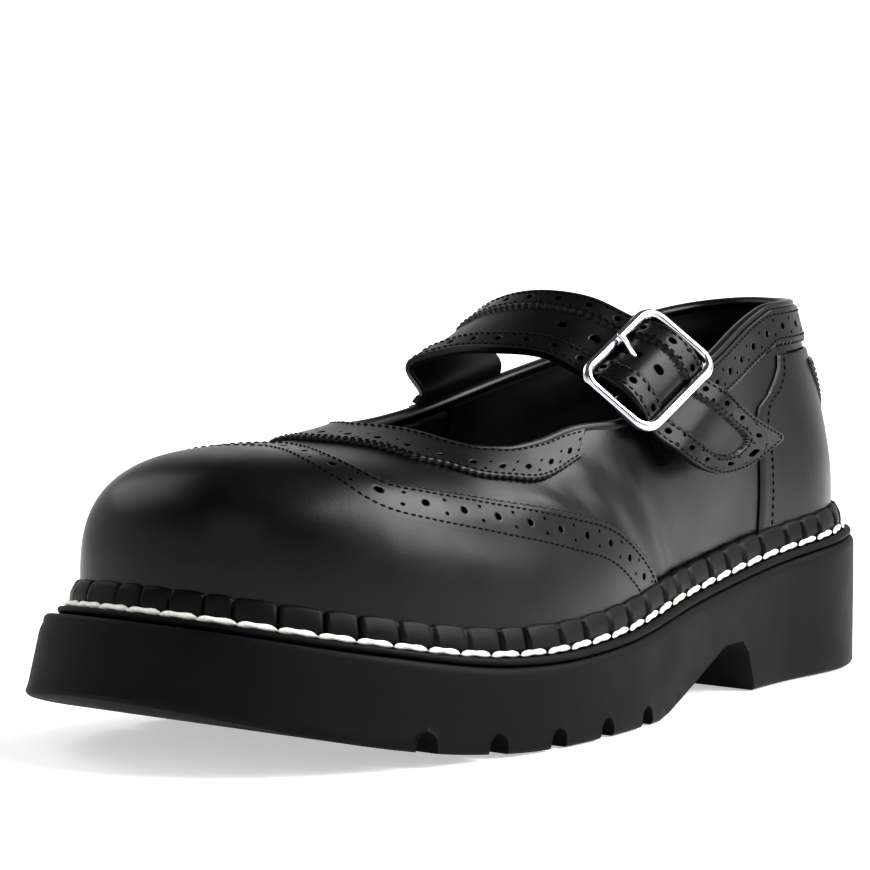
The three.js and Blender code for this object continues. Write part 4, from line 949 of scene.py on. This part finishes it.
def wing_edge(spacing):
    """The wing cap's edge over both sides, as an even line (walk, climb)."""
    climb = np.linspace(-0.06, 1, 700)
    s = to_walk(smooth(WING, climb))
    return even(np.r_[s, s[::-1][1:]], np.r_[climb, 2 - climb[::-1][1:]], spacing)


def make_wing_cap():
    """Wing tip: from its gimped edge a punched border, then the plain toe, to the feather all round."""
    s, t = wing_edge(WING_STEP)
    across = np.r_[0, 0.15, 0.4, np.arange(0.8, BAND_WIDE + 1.2, WING_STEP)]
    band = march(s, t, across, ahead=True)
    along = arc(band[0])
    run = unit(np.gradient(band, axis=0)[2])
    band[0] = band[0] - run * teeth(along)[:, None]
    band[1] = band[1] - run * teeth(along)[:, None] * 0.6
    walk = 3 + 2 * (along / along[-1] - 0.5) * (3 - s[0])
    feather = upper(walk, -TUCK)
    v = (np.linspace(0, 1, 40)[1:] ** 1.15)[:, None, None]
    toe = outward(band[-1] * (1 - v) + feather * v)
    edges = np.broadcast_to(across[:, None], band.shape[:2])
    on = (edges > 2.5) & (edges < BAND_WIDE - 1.5)
    punch = pattern(along[None] - along[-1] / 2, edges - HOLES_IN, on)  # counted from the peak
    outer, n = panel("wing_cap_border", band, LIFT, LEATHER + LIFT, ["wing_cap"], punch, edges)
    grid = np.concatenate([band[-1:], toe])[:, ::2]
    panel("wing_cap_toe", grid, LIFT, LEATHER + LIFT, ["wing_cap"])
    for row, at in (("upper", ROW_IN), ("lower", BAND_WIDE - 0.4)):
        k = int(np.argmin(np.abs(across - at)))
        seam(f"wing_cap_{row}_stitches", outer[k, 4:-4], n[k, 4:-4])


def line_through(points, spacing):
    """A line (walk, climb) through places (ahead, climb), averaged a little and evenly spaced."""
    p = np.asarray(points, float)
    u = np.arange(len(p))
    fine = np.linspace(0, len(p) - 1, 400)
    a = smooth(np.stack([u, p[:, 0]], 1), fine)
    t = smooth(np.stack([u, p[:, 1]], 1), fine)
    return even(to_walk(a), t, spacing)


def two_sides(points):
    """Places of one side and their mirror over the ridge."""
    return [*points, *[(a, 2 - t) for a, t in points[::-1][1:]]]


def between(low, high, count):
    """Rows from one line of points to another, brought onto the surface."""
    v = np.linspace(0, 1, count)[:, None, None]
    return nearest(low * (1 - v) + high * v)[0]


def strip_of_rim(first, last, count):
    """Part of the topline between two shares of its length, evenly spaced."""
    d = arc(upper(rim_s, rim_t))
    at = np.linspace(first * d[-1], last * d[-1], count)
    return np.interp(at, d, rim_s), np.interp(at, d, rim_t)


def rim_share(ahead, outer_side):
    """Share of the topline's length at a place ahead, on one side of it."""
    p = upper(rim_s, rim_t)
    d = arc(p)
    a = BACK_Y - p[:, 1]
    throat = int(np.argmax(a))
    part = slice(40, throat) if outer_side else slice(throat, len(a) - 40)
    found = int(np.argmin(np.abs(a[part] - ahead))) + part.start
    return d[found] / d[-1]


# places ahead and climbs of the throat band's lower edge
THROAT_LOW = [(150, 0.42), (167, 0.435), (186, 0.44), (197, 0.485), (207, 0.54), (214, 0.62), (221, 0.71),
              (223.5, 0.87), (225, 1)]
BAND_BACK = 159


def border(name, low, high, rows, nodes, middle, phase=0.0):
    """A punched border between a gimped low edge and the topline, with a stitch row beside each."""
    grid = between(low, high, rows)
    along = arc(grid[0])[None]
    across = np.linalg.norm(grid - grid[:1], axis=-1)
    to_top = np.linalg.norm(grid - grid[-1:], axis=-1)
    grid[0] = grid[0] - unit(grid[2] - grid[0]) * teeth(along[0])[:, None]
    sides = np.minimum(along, along[0, -1] - along)
    edges = np.minimum(np.minimum(across, to_top), sides)
    on = (to_top > 1.9) & (sides > 1.5) & (across > 1.9)
    punch = pattern(along - phase, across - middle, on, BAND_PITCH)
    outer, n = panel(name, grid, LIFT, LEATHER, nodes, punch, edges)
    for row, field in (("lower", across), ("upper", to_top)):
        k = np.argmin(np.abs(field - 1.5), axis=0)
        pick = np.arange(4, grid.shape[1] - 4)
        seam(f"{name}_{row}_stitches", soften(outer[k[pick], pick], 3), n[k[pick], pick])


def make_throat_band():
    """The border across the throat, from a gimped edge on the vamp up to the topline."""
    low = upper(*line_through(two_sides([p for p in THROAT_LOW if p[0] > BAND_BACK]), SEAM_STEP))
    high = upper(*strip_of_rim(rim_share(BAND_BACK, True), rim_share(BAND_BACK, False), len(low)))
    border("throat_band_leather", low, high, 34, ["throat_band"], 5.6, phase=arc(low)[-1] / 2)


COLLAR_FRONT, COLLAR_DEEP = 99.0, 0.088


def make_collar_bands():
    """The border round the back of the foot's opening, one each side, joined at the heel's centre."""
    for name, side, knots in (("outer", 1, outer_rim), ("inner", -1, inner_rim)):
        keep = (knots[0] > 0.01) & (knots[0] < to_walk(COLLAR_FRONT))
        s = knots[0][keep] if side > 0 else 6 - knots[0][keep]
        length = arc(upper(s, topline(s)))[-1]
        s = np.linspace(s[0], s[-1], int(length / SEAM_STEP))
        border(f"collar_band_{name}_leather", upper(s, topline(s) - COLLAR_DEEP), upper(s, topline(s)), 26,
               [f"collar_band_{name}"], 5.2, phase=4.0)


# the counter cover's edge as climbs and places ahead, the backstay's as climbs and half widths in the walk
COUNTER = [(-0.07, 72), (0.1, 68), (0.17, 67), (0.205, 63), (0.225, 56), (0.27, 47), (0.3, 44.2)]
COUNTER_TOP, STRIP_TOP, FOAM_FRONT = 0.3, 0.275, 108.0
STRIP = [(-0.07, 0.3), (0.06, 0.3), (0.13, 0.34), (0.2, 0.5), (0.26, 0.62)]
SIDE_SEAM, LINING_SEAM, SEAM_TOP = 150.0, 144.0, 0.35  # places ahead, and the climb where both seams end
WING_LAP = 12.0  # the vamp runs this far on under the wing cap


# place ahead, height, length, width, turn and rise of each wrinkle
WRINKLES = [(158, 53, 26, 5.0, 0.95, 0.75), (171, 47, 22, 4.2, 0.8, 0.6), (140, 50, 24, 5.0, 1.0, 0.6),
            (186, 60, 16, 3.6, 0.4, 0.35)]


def creases(p):
    """Soft wrinkles of worn leather on the outer side, where the foot bends the shoe, as heights: each is a
    long bell with a hollow beside it."""
    x, a, z = p[..., 0] - SIDE_X, BACK_Y - p[..., 1], p[..., 2]
    lift = np.zeros(np.shape(a))
    for middle_a, middle_z, long, wide, turn, high in WRINKLES:
        u = (a - middle_a) * math.cos(turn) + (z - middle_z) * math.sin(turn)
        v = (z - middle_z) * math.cos(turn) - (a - middle_a) * math.sin(turn)
        bell, hollow = np.exp(-((v / wide) ** 2)), np.exp(-(((v - wide * 1.5) / wide) ** 2))
        lift += high * np.exp(-((u / long) ** 2)) * (bell - 0.8 * hollow)
    return lift * (x > 0)


def over_the_foot(low, count, seam_at):
    """Climbs from low over the ridge to low, and where a vamp's back edge stands at each: on its seam, then,
    above it, along the topline."""
    climb = np.linspace(low, 1, count)
    climb = np.r_[climb, 2 - climb[::-1][1:]]
    t = np.minimum(climb, 2 - climb)
    side_ahead = np.where(climb <= 1, topline_ahead(t, TOPLINE_OUT), topline_ahead(t, TOPLINE_IN))
    return climb, t, np.where(t < SEAM_TOP, seam_at, np.maximum(seam_at, side_ahead))


def make_vamp():
    """One sheet from the outer foot over the ridge to the inner foot, open at the throat."""
    climb, t, back = over_the_foot(-TUCK, 90, SIDE_SEAM)
    front = np.minimum(smooth(WING, t) + WING_LAP, TOE_POLE - 0.5)
    u = np.linspace(0, 1, 70)
    s = to_walk(back[:, None] * (1 - u) + front[:, None] * u)
    grid = upper(s, np.broadcast_to(climb[:, None], s.shape))
    grid = grid + normals(grid) * creases(grid)[..., None]
    panel("vamp_leather", grid, -LEATHER, 0.0, ["vamp"])


def make_quarters():
    """The sides, from under the heel's counter to the seam under the wing cap and up to the topline."""
    for name, side in (("outer", 1), ("inner", -1)):
        s = np.linspace(0.9, to_walk(SIDE_SEAM + 1.5), 150)[None]
        walk = s if side > 0 else 6 - s
        v = np.linspace(0, 1, 70)[:, None]
        t = -TUCK + (topline(walk) + TUCK) * v
        grid = upper(np.broadcast_to(walk, t.shape), t)
        if side > 0:
            grid = grid + normals(grid) * creases(grid)[..., None]
        panel(f"quarter_{name}_leather", grid, -LEATHER, 0.0, [f"quarter_{name}"])


def heel_grid(edge, low, high, columns, rows):
    """A grid round the heel: edge(t) is its half width in the walk, low and high(s) its climb."""
    u = np.linspace(1, -1, columns)[None]
    s, t = 0.0, np.linspace(0, 1, rows)[:, None] * np.ones_like(u) * 0.2
    for _ in range(12):
        s = edge(t) * u
        foot = low(s) if callable(low) else low
        t = foot + (high(s) - foot) * np.linspace(0, 1, rows)[:, None]
    return upper(np.mod(s, 6), t)


def to_edges(grid, end):
    """Distance of each point of a grid from its side edges and from one end row."""
    away = [np.linalg.norm(grid - edge, axis=-1) for edge in (grid[end], grid[:, :1], grid[:, -1:])]
    return np.minimum(away[0], np.minimum(away[1], away[2]))


def make_heel_parts():
    """Counter cover, heel tab and backstay; the tab lies level with the quarters."""
    grid = heel_grid(lambda t: to_walk(smooth(COUNTER, t)), -TUCK, lambda s: COUNTER_TOP + 0 * s, 260, 70)
    raised("counter", "heel_counter_leather", "heel_counter_cover", grid, 0.02, 0.95)
    grid = heel_grid(lambda t: 1.0 + 0 * t, COUNTER_TOP + 0.004, topline, 160, 20)
    panel("heel_tab_leather", grid, -LEATHER, 0.0, ["heel_tab"])
    grid = heel_grid(lambda t: smooth(STRIP, t), -TUCK, lambda s: STRIP_TOP + 0 * s, 90, 70)
    raised("backstay", "backstay_leather", "backstay", grid, 0.9, 1.85)


def raised(row, name, node, grid, low, high):
    """A sheet on the heel with free sides and top, and a stitch row a few points inside each side."""
    outer, n = panel(name, grid, low, high, [node], None, to_edges(grid, -1))
    for side, k in (("outer", 4), ("inner", grid.shape[1] - 5)):
        seam(f"{row}_{side}_stitches", outer[8:-1, k], n[8:-1, k])


def make_heel_inside():
    """The stiffener in the heel and the foam in the collar, each between the leather and the lining."""
    grid = heel_grid(lambda t: 1.14 + 0 * t, -0.02, lambda s: 0.25 + 0 * s, 120, 30)
    panel("heel_stiffener_sheet", grid, -2.7, -1.7, ["heel_stiffener"], finish=CANVAS, slot="stiffener_sheet")
    grid = heel_grid(lambda t: to_walk(FOAM_FRONT) + 0 * t, lambda s: topline(s) - 0.09,
                     lambda s: topline(s) - 0.01, 160, 12)
    panel("collar_foam", grid, -2.7, -1.7, ["collar_padding"], finish=FOAM, slot="padding_foam")


BINDING_SIDES, BINDING_WIDE, BINDING_OVER, BINDING_UNDER = 18, 1.95, 1.1, 2.0


def make_binding():
    """Rolled leather edge along the whole topline."""
    s, t = even(rim_s, rim_t, 1.0)
    p = upper(s, t)
    n = normal_at(s, t)
    run = np.roll(p, -1, 0) - np.roll(p, 1, 0)
    up = unit(np.cross(n, run))
    up = np.where((up[:, 2] + 0.5 * up[:, 1] < 0)[:, None], -up, up)
    up, n = unit(soften(up, 3, closed=True)), unit(soften(n, 3, closed=True))
    path = soften(p + n * -1.2 + up * 1.0, 2.5, closed=True)
    run = unit(np.roll(path, -1, 0) - np.roll(path, 1, 0))
    across = unit(np.cross(run, up))
    w = (np.arange(BINDING_SIDES) / BINDING_SIDES * TAU)[None, :, None]
    # half an ellipse above, and a deeper half below that clasps the wall's edge
    ring = (across[:, None] * np.cos(w) * BINDING_WIDE
            + up[:, None] * np.where(np.sin(w) > 0, BINDING_OVER, BINDING_UNDER) * np.sin(w))
    build("topline_binding_leather", path[:, None] + ring, ring_faces(len(path), BINDING_SIDES, True),
          BOX_CALF, "black_leather", ["topline_binding"])


LINING_BACK, LINING_FACE, COLLAR_SWELL = 1.4, 4.0, 1.6  # depths of the quarters' lining under the surface


def make_linings():
    """The quarters' lining, swollen where the collar's foam lies under it, and the vamp's lining."""
    s = np.linspace(-to_walk(LINING_SEAM), to_walk(LINING_SEAM), 220)[None]
    v = np.linspace(0, 1, 60)[:, None]
    walk = np.mod(s, 6)
    t = -0.01 + (topline(walk) + 0.004) * v
    grid = upper(np.broadcast_to(walk, t.shape), t)
    n = normals(grid)
    swell = COLLAR_SWELL * step_up(v, 0.62, 0.8) * (1 - step_up(v, 0.86, 1.0))
    swell = swell * (1 - step_up(np.abs(s), 1.15, 1.45))
    faces = [grid - n * LINING_BACK, grid - n * (LINING_FACE + swell)[..., None]]
    pad = build("quarter_lining_leather", np.stack(faces), sheet_faces(*grid.shape[:2]), LINING,
                "lining_leather", ["quarter_lining"])
    climb, t, back = over_the_foot(-0.01, 60, LINING_SEAM)
    first = to_walk(back[:, None])
    walk = first + (3 - first) * np.linspace(0, 1, 90)
    grid = raw_upper(np.where(climb[:, None] <= 1, walk, 6 - walk), np.broadcast_to(t[:, None], walk.shape))
    inward = unit(hub(BACK_Y - grid[..., 1]) - grid)
    faces = [grid + inward * 2.9, grid + inward * 4.1]
    build("vamp_lining_leather", np.stack(faces), sheet_faces(*grid.shape[:2]), LINING, "lining_leather",
          ["vamp_lining"])


def make_sock():
    """Sock liner: a thin sheet on the insole board, dished a little towards its middle."""
    share = (1 - np.cos(np.linspace(0, math.pi, 90))) / 2
    base = toeward(UPPER_IN + 4.9, EDGE[:, 1])
    loops = [inset(EDGE, base + d) for d in (0.0, 0.0, 0.35, 1.0, 9.0, 18.0)]
    lifts = (5.4, 7.2, 7.6, 7.7, 7.45, 7.2)
    heights = [lambda a, up=up: sole_top(a) + up for up in lifts]
    slab("sock_liner_leather", loops, heights, share, LINING, "lining_leather", ["sock_liner"])


# ------------------------------------------------------------------ buckle, tab and strap
BUCKLE_AT = place(35.6, 129.7, 93.5)
ACROSS = unit(np.array([0.0, 0.88, 0.475]))
ALONG = unit(np.array([0.69, 0.343, -0.636]))
OUT = unit(np.cross(ALONG, ACROSS))


def at_buckle(along, across, out):
    """Places in the buckle's own directions: along the strap, across it and out from the shoe."""
    along, across, out = np.broadcast_arrays(*(np.asarray(v, float)[..., None] for v in (along, across, out)))
    return BUCKLE_AT + ALONG * along + ACROSS * across + OUT * out


def make_buckle():
    """Rounded rectangle of polished round wire, with the bar for the prong and tab."""
    l, w, r = BUCKLE_ALONG / 2, BUCKLE_ACROSS / 2, BUCKLE_CORNER
    turn = np.linspace(0, math.pi / 2, 14)
    corners = [(l - r, w - r, 0), (-l + r, w - r, 1), (-l + r, -w + r, 2), (l - r, -w + r, 3)]
    x = np.concatenate([cx + r * np.cos(turn + k * math.pi / 2) for cx, cy, k in corners])
    y = np.concatenate([cy + r * np.sin(turn + k * math.pi / 2) for cx, cy, k in corners])
    line = np.stack([x, y], 1)
    d = arc(np.r_[line, line[:1]])
    at = np.linspace(0, d[-1], 260, endpoint=False)
    x, y = (np.interp(at, d, np.r_[v, v[:1]]) for v in (x, y))
    wire = tube(at_buckle(x, y, 0 * x), WIRE / 2, 20, closed=True, up=OUT)
    u = np.linspace(-1, 1, 60)
    drop = -BAR_DROP * (1 - np.abs(u) ** 8)  # it dips under the wire between its two ends
    bar = tube(at_buckle(0 * u, u * w, drop), CENTRE_BAR / 2, 16, up=OUT)
    build("buckle_wire", *join([wire, bar]), CHROME, "chrome_wire", ["buckle_frame"], body="buckle", crisp=80)


def make_prong():
    """Wire hooked round the centre bar that rises through the strap and rests on the near side."""
    hook = GAP + CENTRE_BAR / 2 + PRONG / 2
    w = np.linspace(2.25 * math.pi, math.pi, 26)
    near, rise = -BUCKLE_ALONG / 2, WIRE / 2 + PRONG / 2 + GAP
    along = np.r_[hook * np.cos(w), -hook - 0.6, (-hook + near) / 2, near + 1.8, near - 0.9]
    out = np.r_[hook * np.sin(w), 1.2, (rise + BAR_DROP) * 0.62, rise + BAR_DROP, rise + BAR_DROP] - BAR_DROP
    d = arc(np.stack([along, out], 1))
    at = np.linspace(0, d[-1], 90)
    along, out = (soften(np.interp(at, d, v), 2.0) for v in (along, out))
    point = np.sqrt(np.clip((d[-1] - at) / 0.8 + 0.02, 0, 1))
    size = PRONG / 2 * (1 - 0.25 * step_up(at, d[-1] - 4, d[-1])) * point
    grid, faces = tube(at_buckle(along, 0 * along, out), size, 14, up=ACROSS)
    build("buckle_prong_wire", grid, faces, CHROME, "chrome_wire", ["buckle_prong"], body="prong", crisp=80)


def plate(front, rear, low, high, columns):
    """A ruled sheet between two edge lines, from low to high off it, as points and faces."""
    v = np.linspace(0, 1, columns)[None, :, None]
    grid = front[:, None] * (1 - v) + rear[:, None] * v
    n = unit(np.cross(np.gradient(grid, axis=0), np.gradient(grid, axis=1)))
    return np.stack([grid + n * high, grid + n * low]), sheet_faces(*grid.shape[:2])


def join(parts):
    """Several (points, faces) as one."""
    points, faces, start = [], [], 0
    for p, f in parts:
        p = np.reshape(p, (-1, 3))
        points.append(p)
        faces.append(f + start)
        start += len(p)
    return np.concatenate(points), np.concatenate(faces)


def make_tab():
    """Leather tab: folded round the centre bar either side of the prong, then down onto the quarter."""
    half = TAB_WIDTH / 2
    middle = CENTRE_BAR / 2 + GAP + TAB_THICK / 2
    w = np.linspace(0.1, 1.8, 40) * math.pi
    parts = []
    for low, high in ((-half, -PRONG / 2 - 0.8), (PRONG / 2 + 0.8, half)):
        along, out = middle * np.cos(w), middle * np.sin(w) - BAR_DROP
        front, rear = (at_buckle(along, 0 * w + across, out) for across in (low, high))
        parts.append(plate(front, rear, -TAB_THICK / 2, TAB_THICK / 2, 12))
    # how far along and out each edge of the tail runs
    tail_front = np.array([(1.9, -2.9), (6.5, -3.5), (10, -5), (15, -8), (20.5, -12)])
    tail_rear = np.array([(1.9, -2.9), (6.5, -5.3), (11.5, -9.2), (16.5, -14.1), (21, -18.3)])
    u, fine = np.arange(5), np.linspace(0, 4, 50)
    edges = []
    for tail, across in ((tail_front, -half), (tail_rear, half)):
        along, out = (smooth(np.stack([u, tail[:, k]], 1), fine) for k in (0, 1))
        edges.append(at_buckle(along, across + 0 * fine, out))
    parts.append(plate(*edges, -TAB_THICK, TAB_THICK, 40))
    build("buckle_tab_leather", *join(parts), BOX_CALF, "black_leather", ["buckle_tab"])


STRAP_BACK, STRAP_FRONT = 119.1, 156.0


def inner_edge(a, up, off):
    """A point off the inner quarter, at a place ahead and a climb over its topline."""
    s = 6 - to_walk(a)
    return (upper(s, topline(s) + up) + normal_at(s, topline(s) + up) * off).reshape(3)


def strap_stations():
    """The strap's middle, width direction and half width, from its root on the inner side to its tip."""
    bar = BUCKLE_ALONG / 2
    under = -(WIRE / 2 + 2 * GAP + STRAP_THICK)
    over = -BAR_DROP + CENTRE_BAR / 2 + GAP + TAB_THICK + GAP + 0.9 + GAP
    pairs = [
        (inner_edge(STRAP_FRONT, 0.01, 1.6), inner_edge(STRAP_BACK, 0.01, 1.6), 1.3),
        (inner_edge(STRAP_FRONT, 0.05, 1.6), inner_edge(STRAP_BACK, 0.05, 1.6), 1.22),
        (place(-31, 152.5, 92), place(-31.5, 122, 101.5), 1.08),
        (place(-19, 150.6, 96.4), place(-22, 125, 109), 1),
        (place(0, 151.8, 97.8), place(-4, 127, 113.2), 1),
        (place(14, 149.5, 96.5), place(11, 122.5, 112), 1),
        *[(at_buckle(x, -1, out), at_buckle(x, 1, out), 1) for x, out in (
            (-bar, under), (-bar / 2, under * 0.3 + over * 0.7), (0, over),
            (bar / 2, under * 0.3 + over * 0.7), (bar, under))],
        (place(45, 130, 69.8), place(44, 103.5, 87.5), 1),
        (place(45.5, 119, 64.5), place(43, 88.5, 80), 1.03),
        (place(44.5, 101, 62), place(41, 69, 72), 1.08),
    ]
    front, rear = np.array([p[0] for p in pairs]), np.array([p[1] for p in pairs])
    return (front + rear) / 2, unit(rear - front), np.array([p[2] for p in pairs]) * STRAP_WIDTH / 2


def even_strap(spacing):
    """Centripetal Catmull-Rom line through the stations, evenly spaced, with its directions."""
    mid, wide, half = strap_stations()
    p = np.r_[[2 * mid[0] - mid[1]], mid, [2 * mid[-1] - mid[-2]]]
    k = np.linspace(0, len(mid) - 1, 1401)
    i = np.minimum(k.astype(int), len(mid) - 2)
    t = (k - i)[:, None]
    p0, p1, p2, p3 = (p[i + j] for j in range(4))
    d0, d1, d2 = (np.linalg.norm(b - a, axis=1)[:, None] ** 0.5 for a, b in ((p0, p1), (p1, p2), (p2, p3)))
    m1 = ((p1 - p0) / d0 - (p2 - p0) / (d0 + d1) + (p2 - p1) / d1) * d1
    m2 = ((p2 - p1) / d1 - (p3 - p1) / (d1 + d2) + (p3 - p2) / d2) * d1
    line = ((2 * t**3 - 3 * t**2 + 1) * p1 + (t**3 - 2 * t**2 + t) * m1
            + (3 * t**2 - 2 * t**3) * p2 + (t**3 - t**2) * m2)
    wide = wide[i] * (1 - t) + wide[i + 1] * t
    half = half[i] * (1 - t[:, 0]) + half[i + 1] * t[:, 0]
    d = arc(line)
    at = np.linspace(0, d[-1], int(d[-1] / spacing))
    near_bar = d[int(6 / (len(mid) - 1) * 1400)]
    wide = unit(soften(unit(along_line(at, d, wide)), 8))
    return at, along_line(at, d, line), wide, soften(np.interp(at, d, half), 8), near_bar


STRAP_STEP, STRAP_FACE = 0.45, 1.66  # spacing of the points along the strap, and its stitches' height
STRAP_BEND = [12.0, 0.0, 8.0]  # direction from the strap's root of the line handed to build() as blend, which only bakes the pieces in place
BORDER_WIDE, END_BORDER, STRAP_PITCH = 7.9, 12.5, 8.6
ADJUST_PITCH, PRONG_HOLE = 10.5, 5.4
FRONT_CORNER, REAR_CORNER, U_RADIUS = 13.0, 4.5, 14.0


def make_strap():
    """Instep strap: a plain middle between raised, punched borders that meet round its rounded end,
    with its lining under it and a stitch row along each edge of the borders."""
    at, line, wide, half, near_bar = even_strap(STRAP_STEP)
    run = unit(np.gradient(line, axis=0))
    out = unit(np.cross(run, wide))
    length = at[-1]
    # the outline: a broad curve on the front corner and a tight one on the rear corner of a blunt end
    v = (np.sin(np.linspace(-1, 1, 75) * math.pi / 2 * 0.92) / math.sin(math.pi / 2 * 0.92))[:, None]
    corner = np.where(v < 0, FRONT_CORNER, REAR_CORNER)
    past = np.clip((at[None] - (length - corner)) / corner, 0, 1)
    reach = half[None] - corner * (1 - np.sqrt(1 - past**2))
    y = v * reach
    from_side, from_end = half[None] - np.abs(y), length - at[None]
    in_corner = (from_side < corner) & (from_end < corner)
    to_corner = corner - np.hypot(corner - from_side, corner - from_end)
    edge = np.clip(np.where(in_corner, to_corner, np.minimum(from_side, from_end)), 0, None)
    # the border widens at the end and turns round a U
    turn_side = np.clip(U_RADIUS - from_side, 0, None)
    turn_end = np.clip(U_RADIUS - from_end * BORDER_WIDE / END_BORDER, 0, None)
    inside = np.where(turn_end > 0, U_RADIUS - np.hypot(turn_side, turn_end), from_side)
    start = length - U_RADIUS * END_BORDER / BORDER_WIDE
    row = U_RADIUS - BORDER_WIDE / 2
    walk = np.where(turn_end > 0, start + np.arctan2(turn_end, turn_side + 1e-6) * row, at[None] + 0 * y)
    tooth = teeth(walk) * 0.5
    rise = 1 - step_up(inside + tooth, BORDER_WIDE - 0.22, BORDER_WIDE + 0.22)
    top = 0.75 + 0.95 * rise - 0.45 * np.exp(-(((inside + tooth - BORDER_WIDE) / 0.35) ** 2))
    rim = np.where(edge < 0.5, 0.5 - np.sqrt(np.clip(0.25 - (0.5 - edge) ** 2, 0, None)), 0)
    on = (inside > 1.7) & (inside < BORDER_WIDE - 1.2) & (edge > 1.7) & (at[None] > 6)
    punch = pattern(walk - start - row * math.pi / 2, inside - BORDER_WIDE / 2, on, STRAP_PITCH)
    # adjusting holes down the middle; the prong stands in the third
    for k in (-2, -1, 0, 1, 2):
        spot = near_bar + PRONG_HOLE + k * ADJUST_PITCH
        stretch = 3.4 if k == 0 else 0.35
        away = np.hypot(np.clip(np.abs(at[None] - spot) - stretch, 0, None), y)
        top = top - 1.4 * (1 - step_up(away, 0.6, 1.2)) * (away < 1.3)
        # painted shade: coloured near black, like a border's big hole
        near = (away < 1.9)[..., None]
        punch = np.where(near, np.stack([away * 0.8, 0 * away, 0 * away + 50], -1), punch)
    top = top - rim - HOLE_DEPTH * dimples(punch) * (punch[..., 2] < 20)
    grid = line[None] + wide[None] * y[..., None]
    outer, inner = grid + out[None] * np.maximum(top, 0.1)[..., None], grid + out[None] * -0.05
    # a line just above its root, handed to build() as blend, which only bakes the pieces' transforms
    root = line[int(2 / STRAP_STEP)]
    hinge = tuple(tuple((p * MM).tolist()) for p in (root, root + STRAP_BEND))
    build("strap_leather", np.stack([outer, inner]), sheet_faces(*grid.shape[:2]), BOX_CALF, "black_leather",
          ["strap"], "strap", np.stack([punch, 0 * punch]), crisp=60, blend=hinge)
    pull = 0.975
    under = line[None] + wide[None] * y[..., None] * pull
    build("strap_lining_leather", np.stack([under + out[None] * -0.1, under - out[None] * 1.15]),
          sheet_faces(*grid.shape[:2]), LINING, "lining_leather", ["strap_lining"], "strap", crisp=60,
          blend=hinge)
    # a stitch row inside each edge of the border: up the front, round the end and back along the rear
    for name, inset_by in (("outer", 1.3), ("inner", BORDER_WIDE - 1.2)):
        ahead_at = inset_by if name == "outer" else END_BORDER - 1.2
        stop = length - ahead_at
        side_half = np.interp(stop - 6, at, half) - inset_by
        halves = []
        for corner in (FRONT_CORNER, REAR_CORNER):
            bend = min(max(corner - inset_by, 2.0) if name == "outer" else U_RADIUS - inset_by, side_half)
            w = np.linspace(0, math.pi / 2, 24)
            straight = at[at < stop - bend]
            halves.append((np.r_[straight, stop - bend + bend * np.sin(w)],
                           np.r_[half[:len(straight)] - inset_by, side_half - bend + bend * np.cos(w)]))
        (front_at, front_y), (rear_at, rear_y) = halves
        path_at, path_y = np.r_[front_at, rear_at[::-1]], np.r_[-front_y, rear_y[::-1]]
        lift = along_line(path_at, at, out)
        path = along_line(path_at, at, line) + along_line(path_at, at, wide) * path_y[:, None]
        path = path + lift * STRAP_FACE
        keep = slice(int(8 / STRAP_STEP), -int(8 / STRAP_STEP))
        seam(f"strap_{name}_stitches", path[keep], lift[keep], "strap", hinge)


ROOT_DEEP = 0.2


def make_strap_root():
    """The strap's sewn end on the outside of the inner quarter: a patch with a box of stitches."""
    u = np.linspace(-1, 1, 90)[None]
    v = np.linspace(0, 1, 60)[:, None]
    middle, half = (STRAP_BACK + STRAP_FRONT) / 2, (STRAP_FRONT - STRAP_BACK) / 2 * 1.12
    # rounded lower corners
    pull = 1 - 0.16 * (1 - np.clip(v / 0.35, 0, 1)) ** 2.2
    s = 6 - to_walk(middle + u * half * pull)
    t = topline(s) - ROOT_DEEP + (ROOT_DEEP + 0.002) * v
    grid = upper(s, t)
    edges = to_edges(grid, 0)
    along = arc(grid[:, 0])[:, None] + 0 * u
    punch = pattern(along, edges - 4.2, (edges > 1.9) & (edges < 6.6) & (v > 0.22), STRAP_PITCH)
    outer, n = panel("strap_root_leather", grid, LIFT, 2.4, ["strap_root"], punch, edges)
    k = 5
    path = np.r_[outer[::-1, k][:-4], outer[4, k:-k], outer[4:, -k]]
    out = np.r_[n[::-1, k][:-4], n[4, k:-k], n[4:, -k]]
    seam("strap_root_stitches", path[2:-2], out[2:-2])


def paint_inner_nodes():
    """The pieces inside the shoe stay as the frame has them, each with its own finish."""
    for node, finish in (("steel_shank", STEEL), ("cork_filler", CORK), ("insole_board", BOARD),
                         ("toe_puff", CANVAS)):
        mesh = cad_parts[node].data
        mesh.materials.clear()
        mesh.materials.append(finish)


make_outsole()
make_welt()
make_welt_stitches()
make_rand()
make_vamp()
make_quarters()
make_heel_parts()
make_wing_cap()
make_throat_band()
make_collar_bands()
make_heel_inside()
make_binding()
make_linings()
make_sock()
make_buckle()
make_prong()
make_tab()
make_strap()
make_strap_root()
paint_inner_nodes()
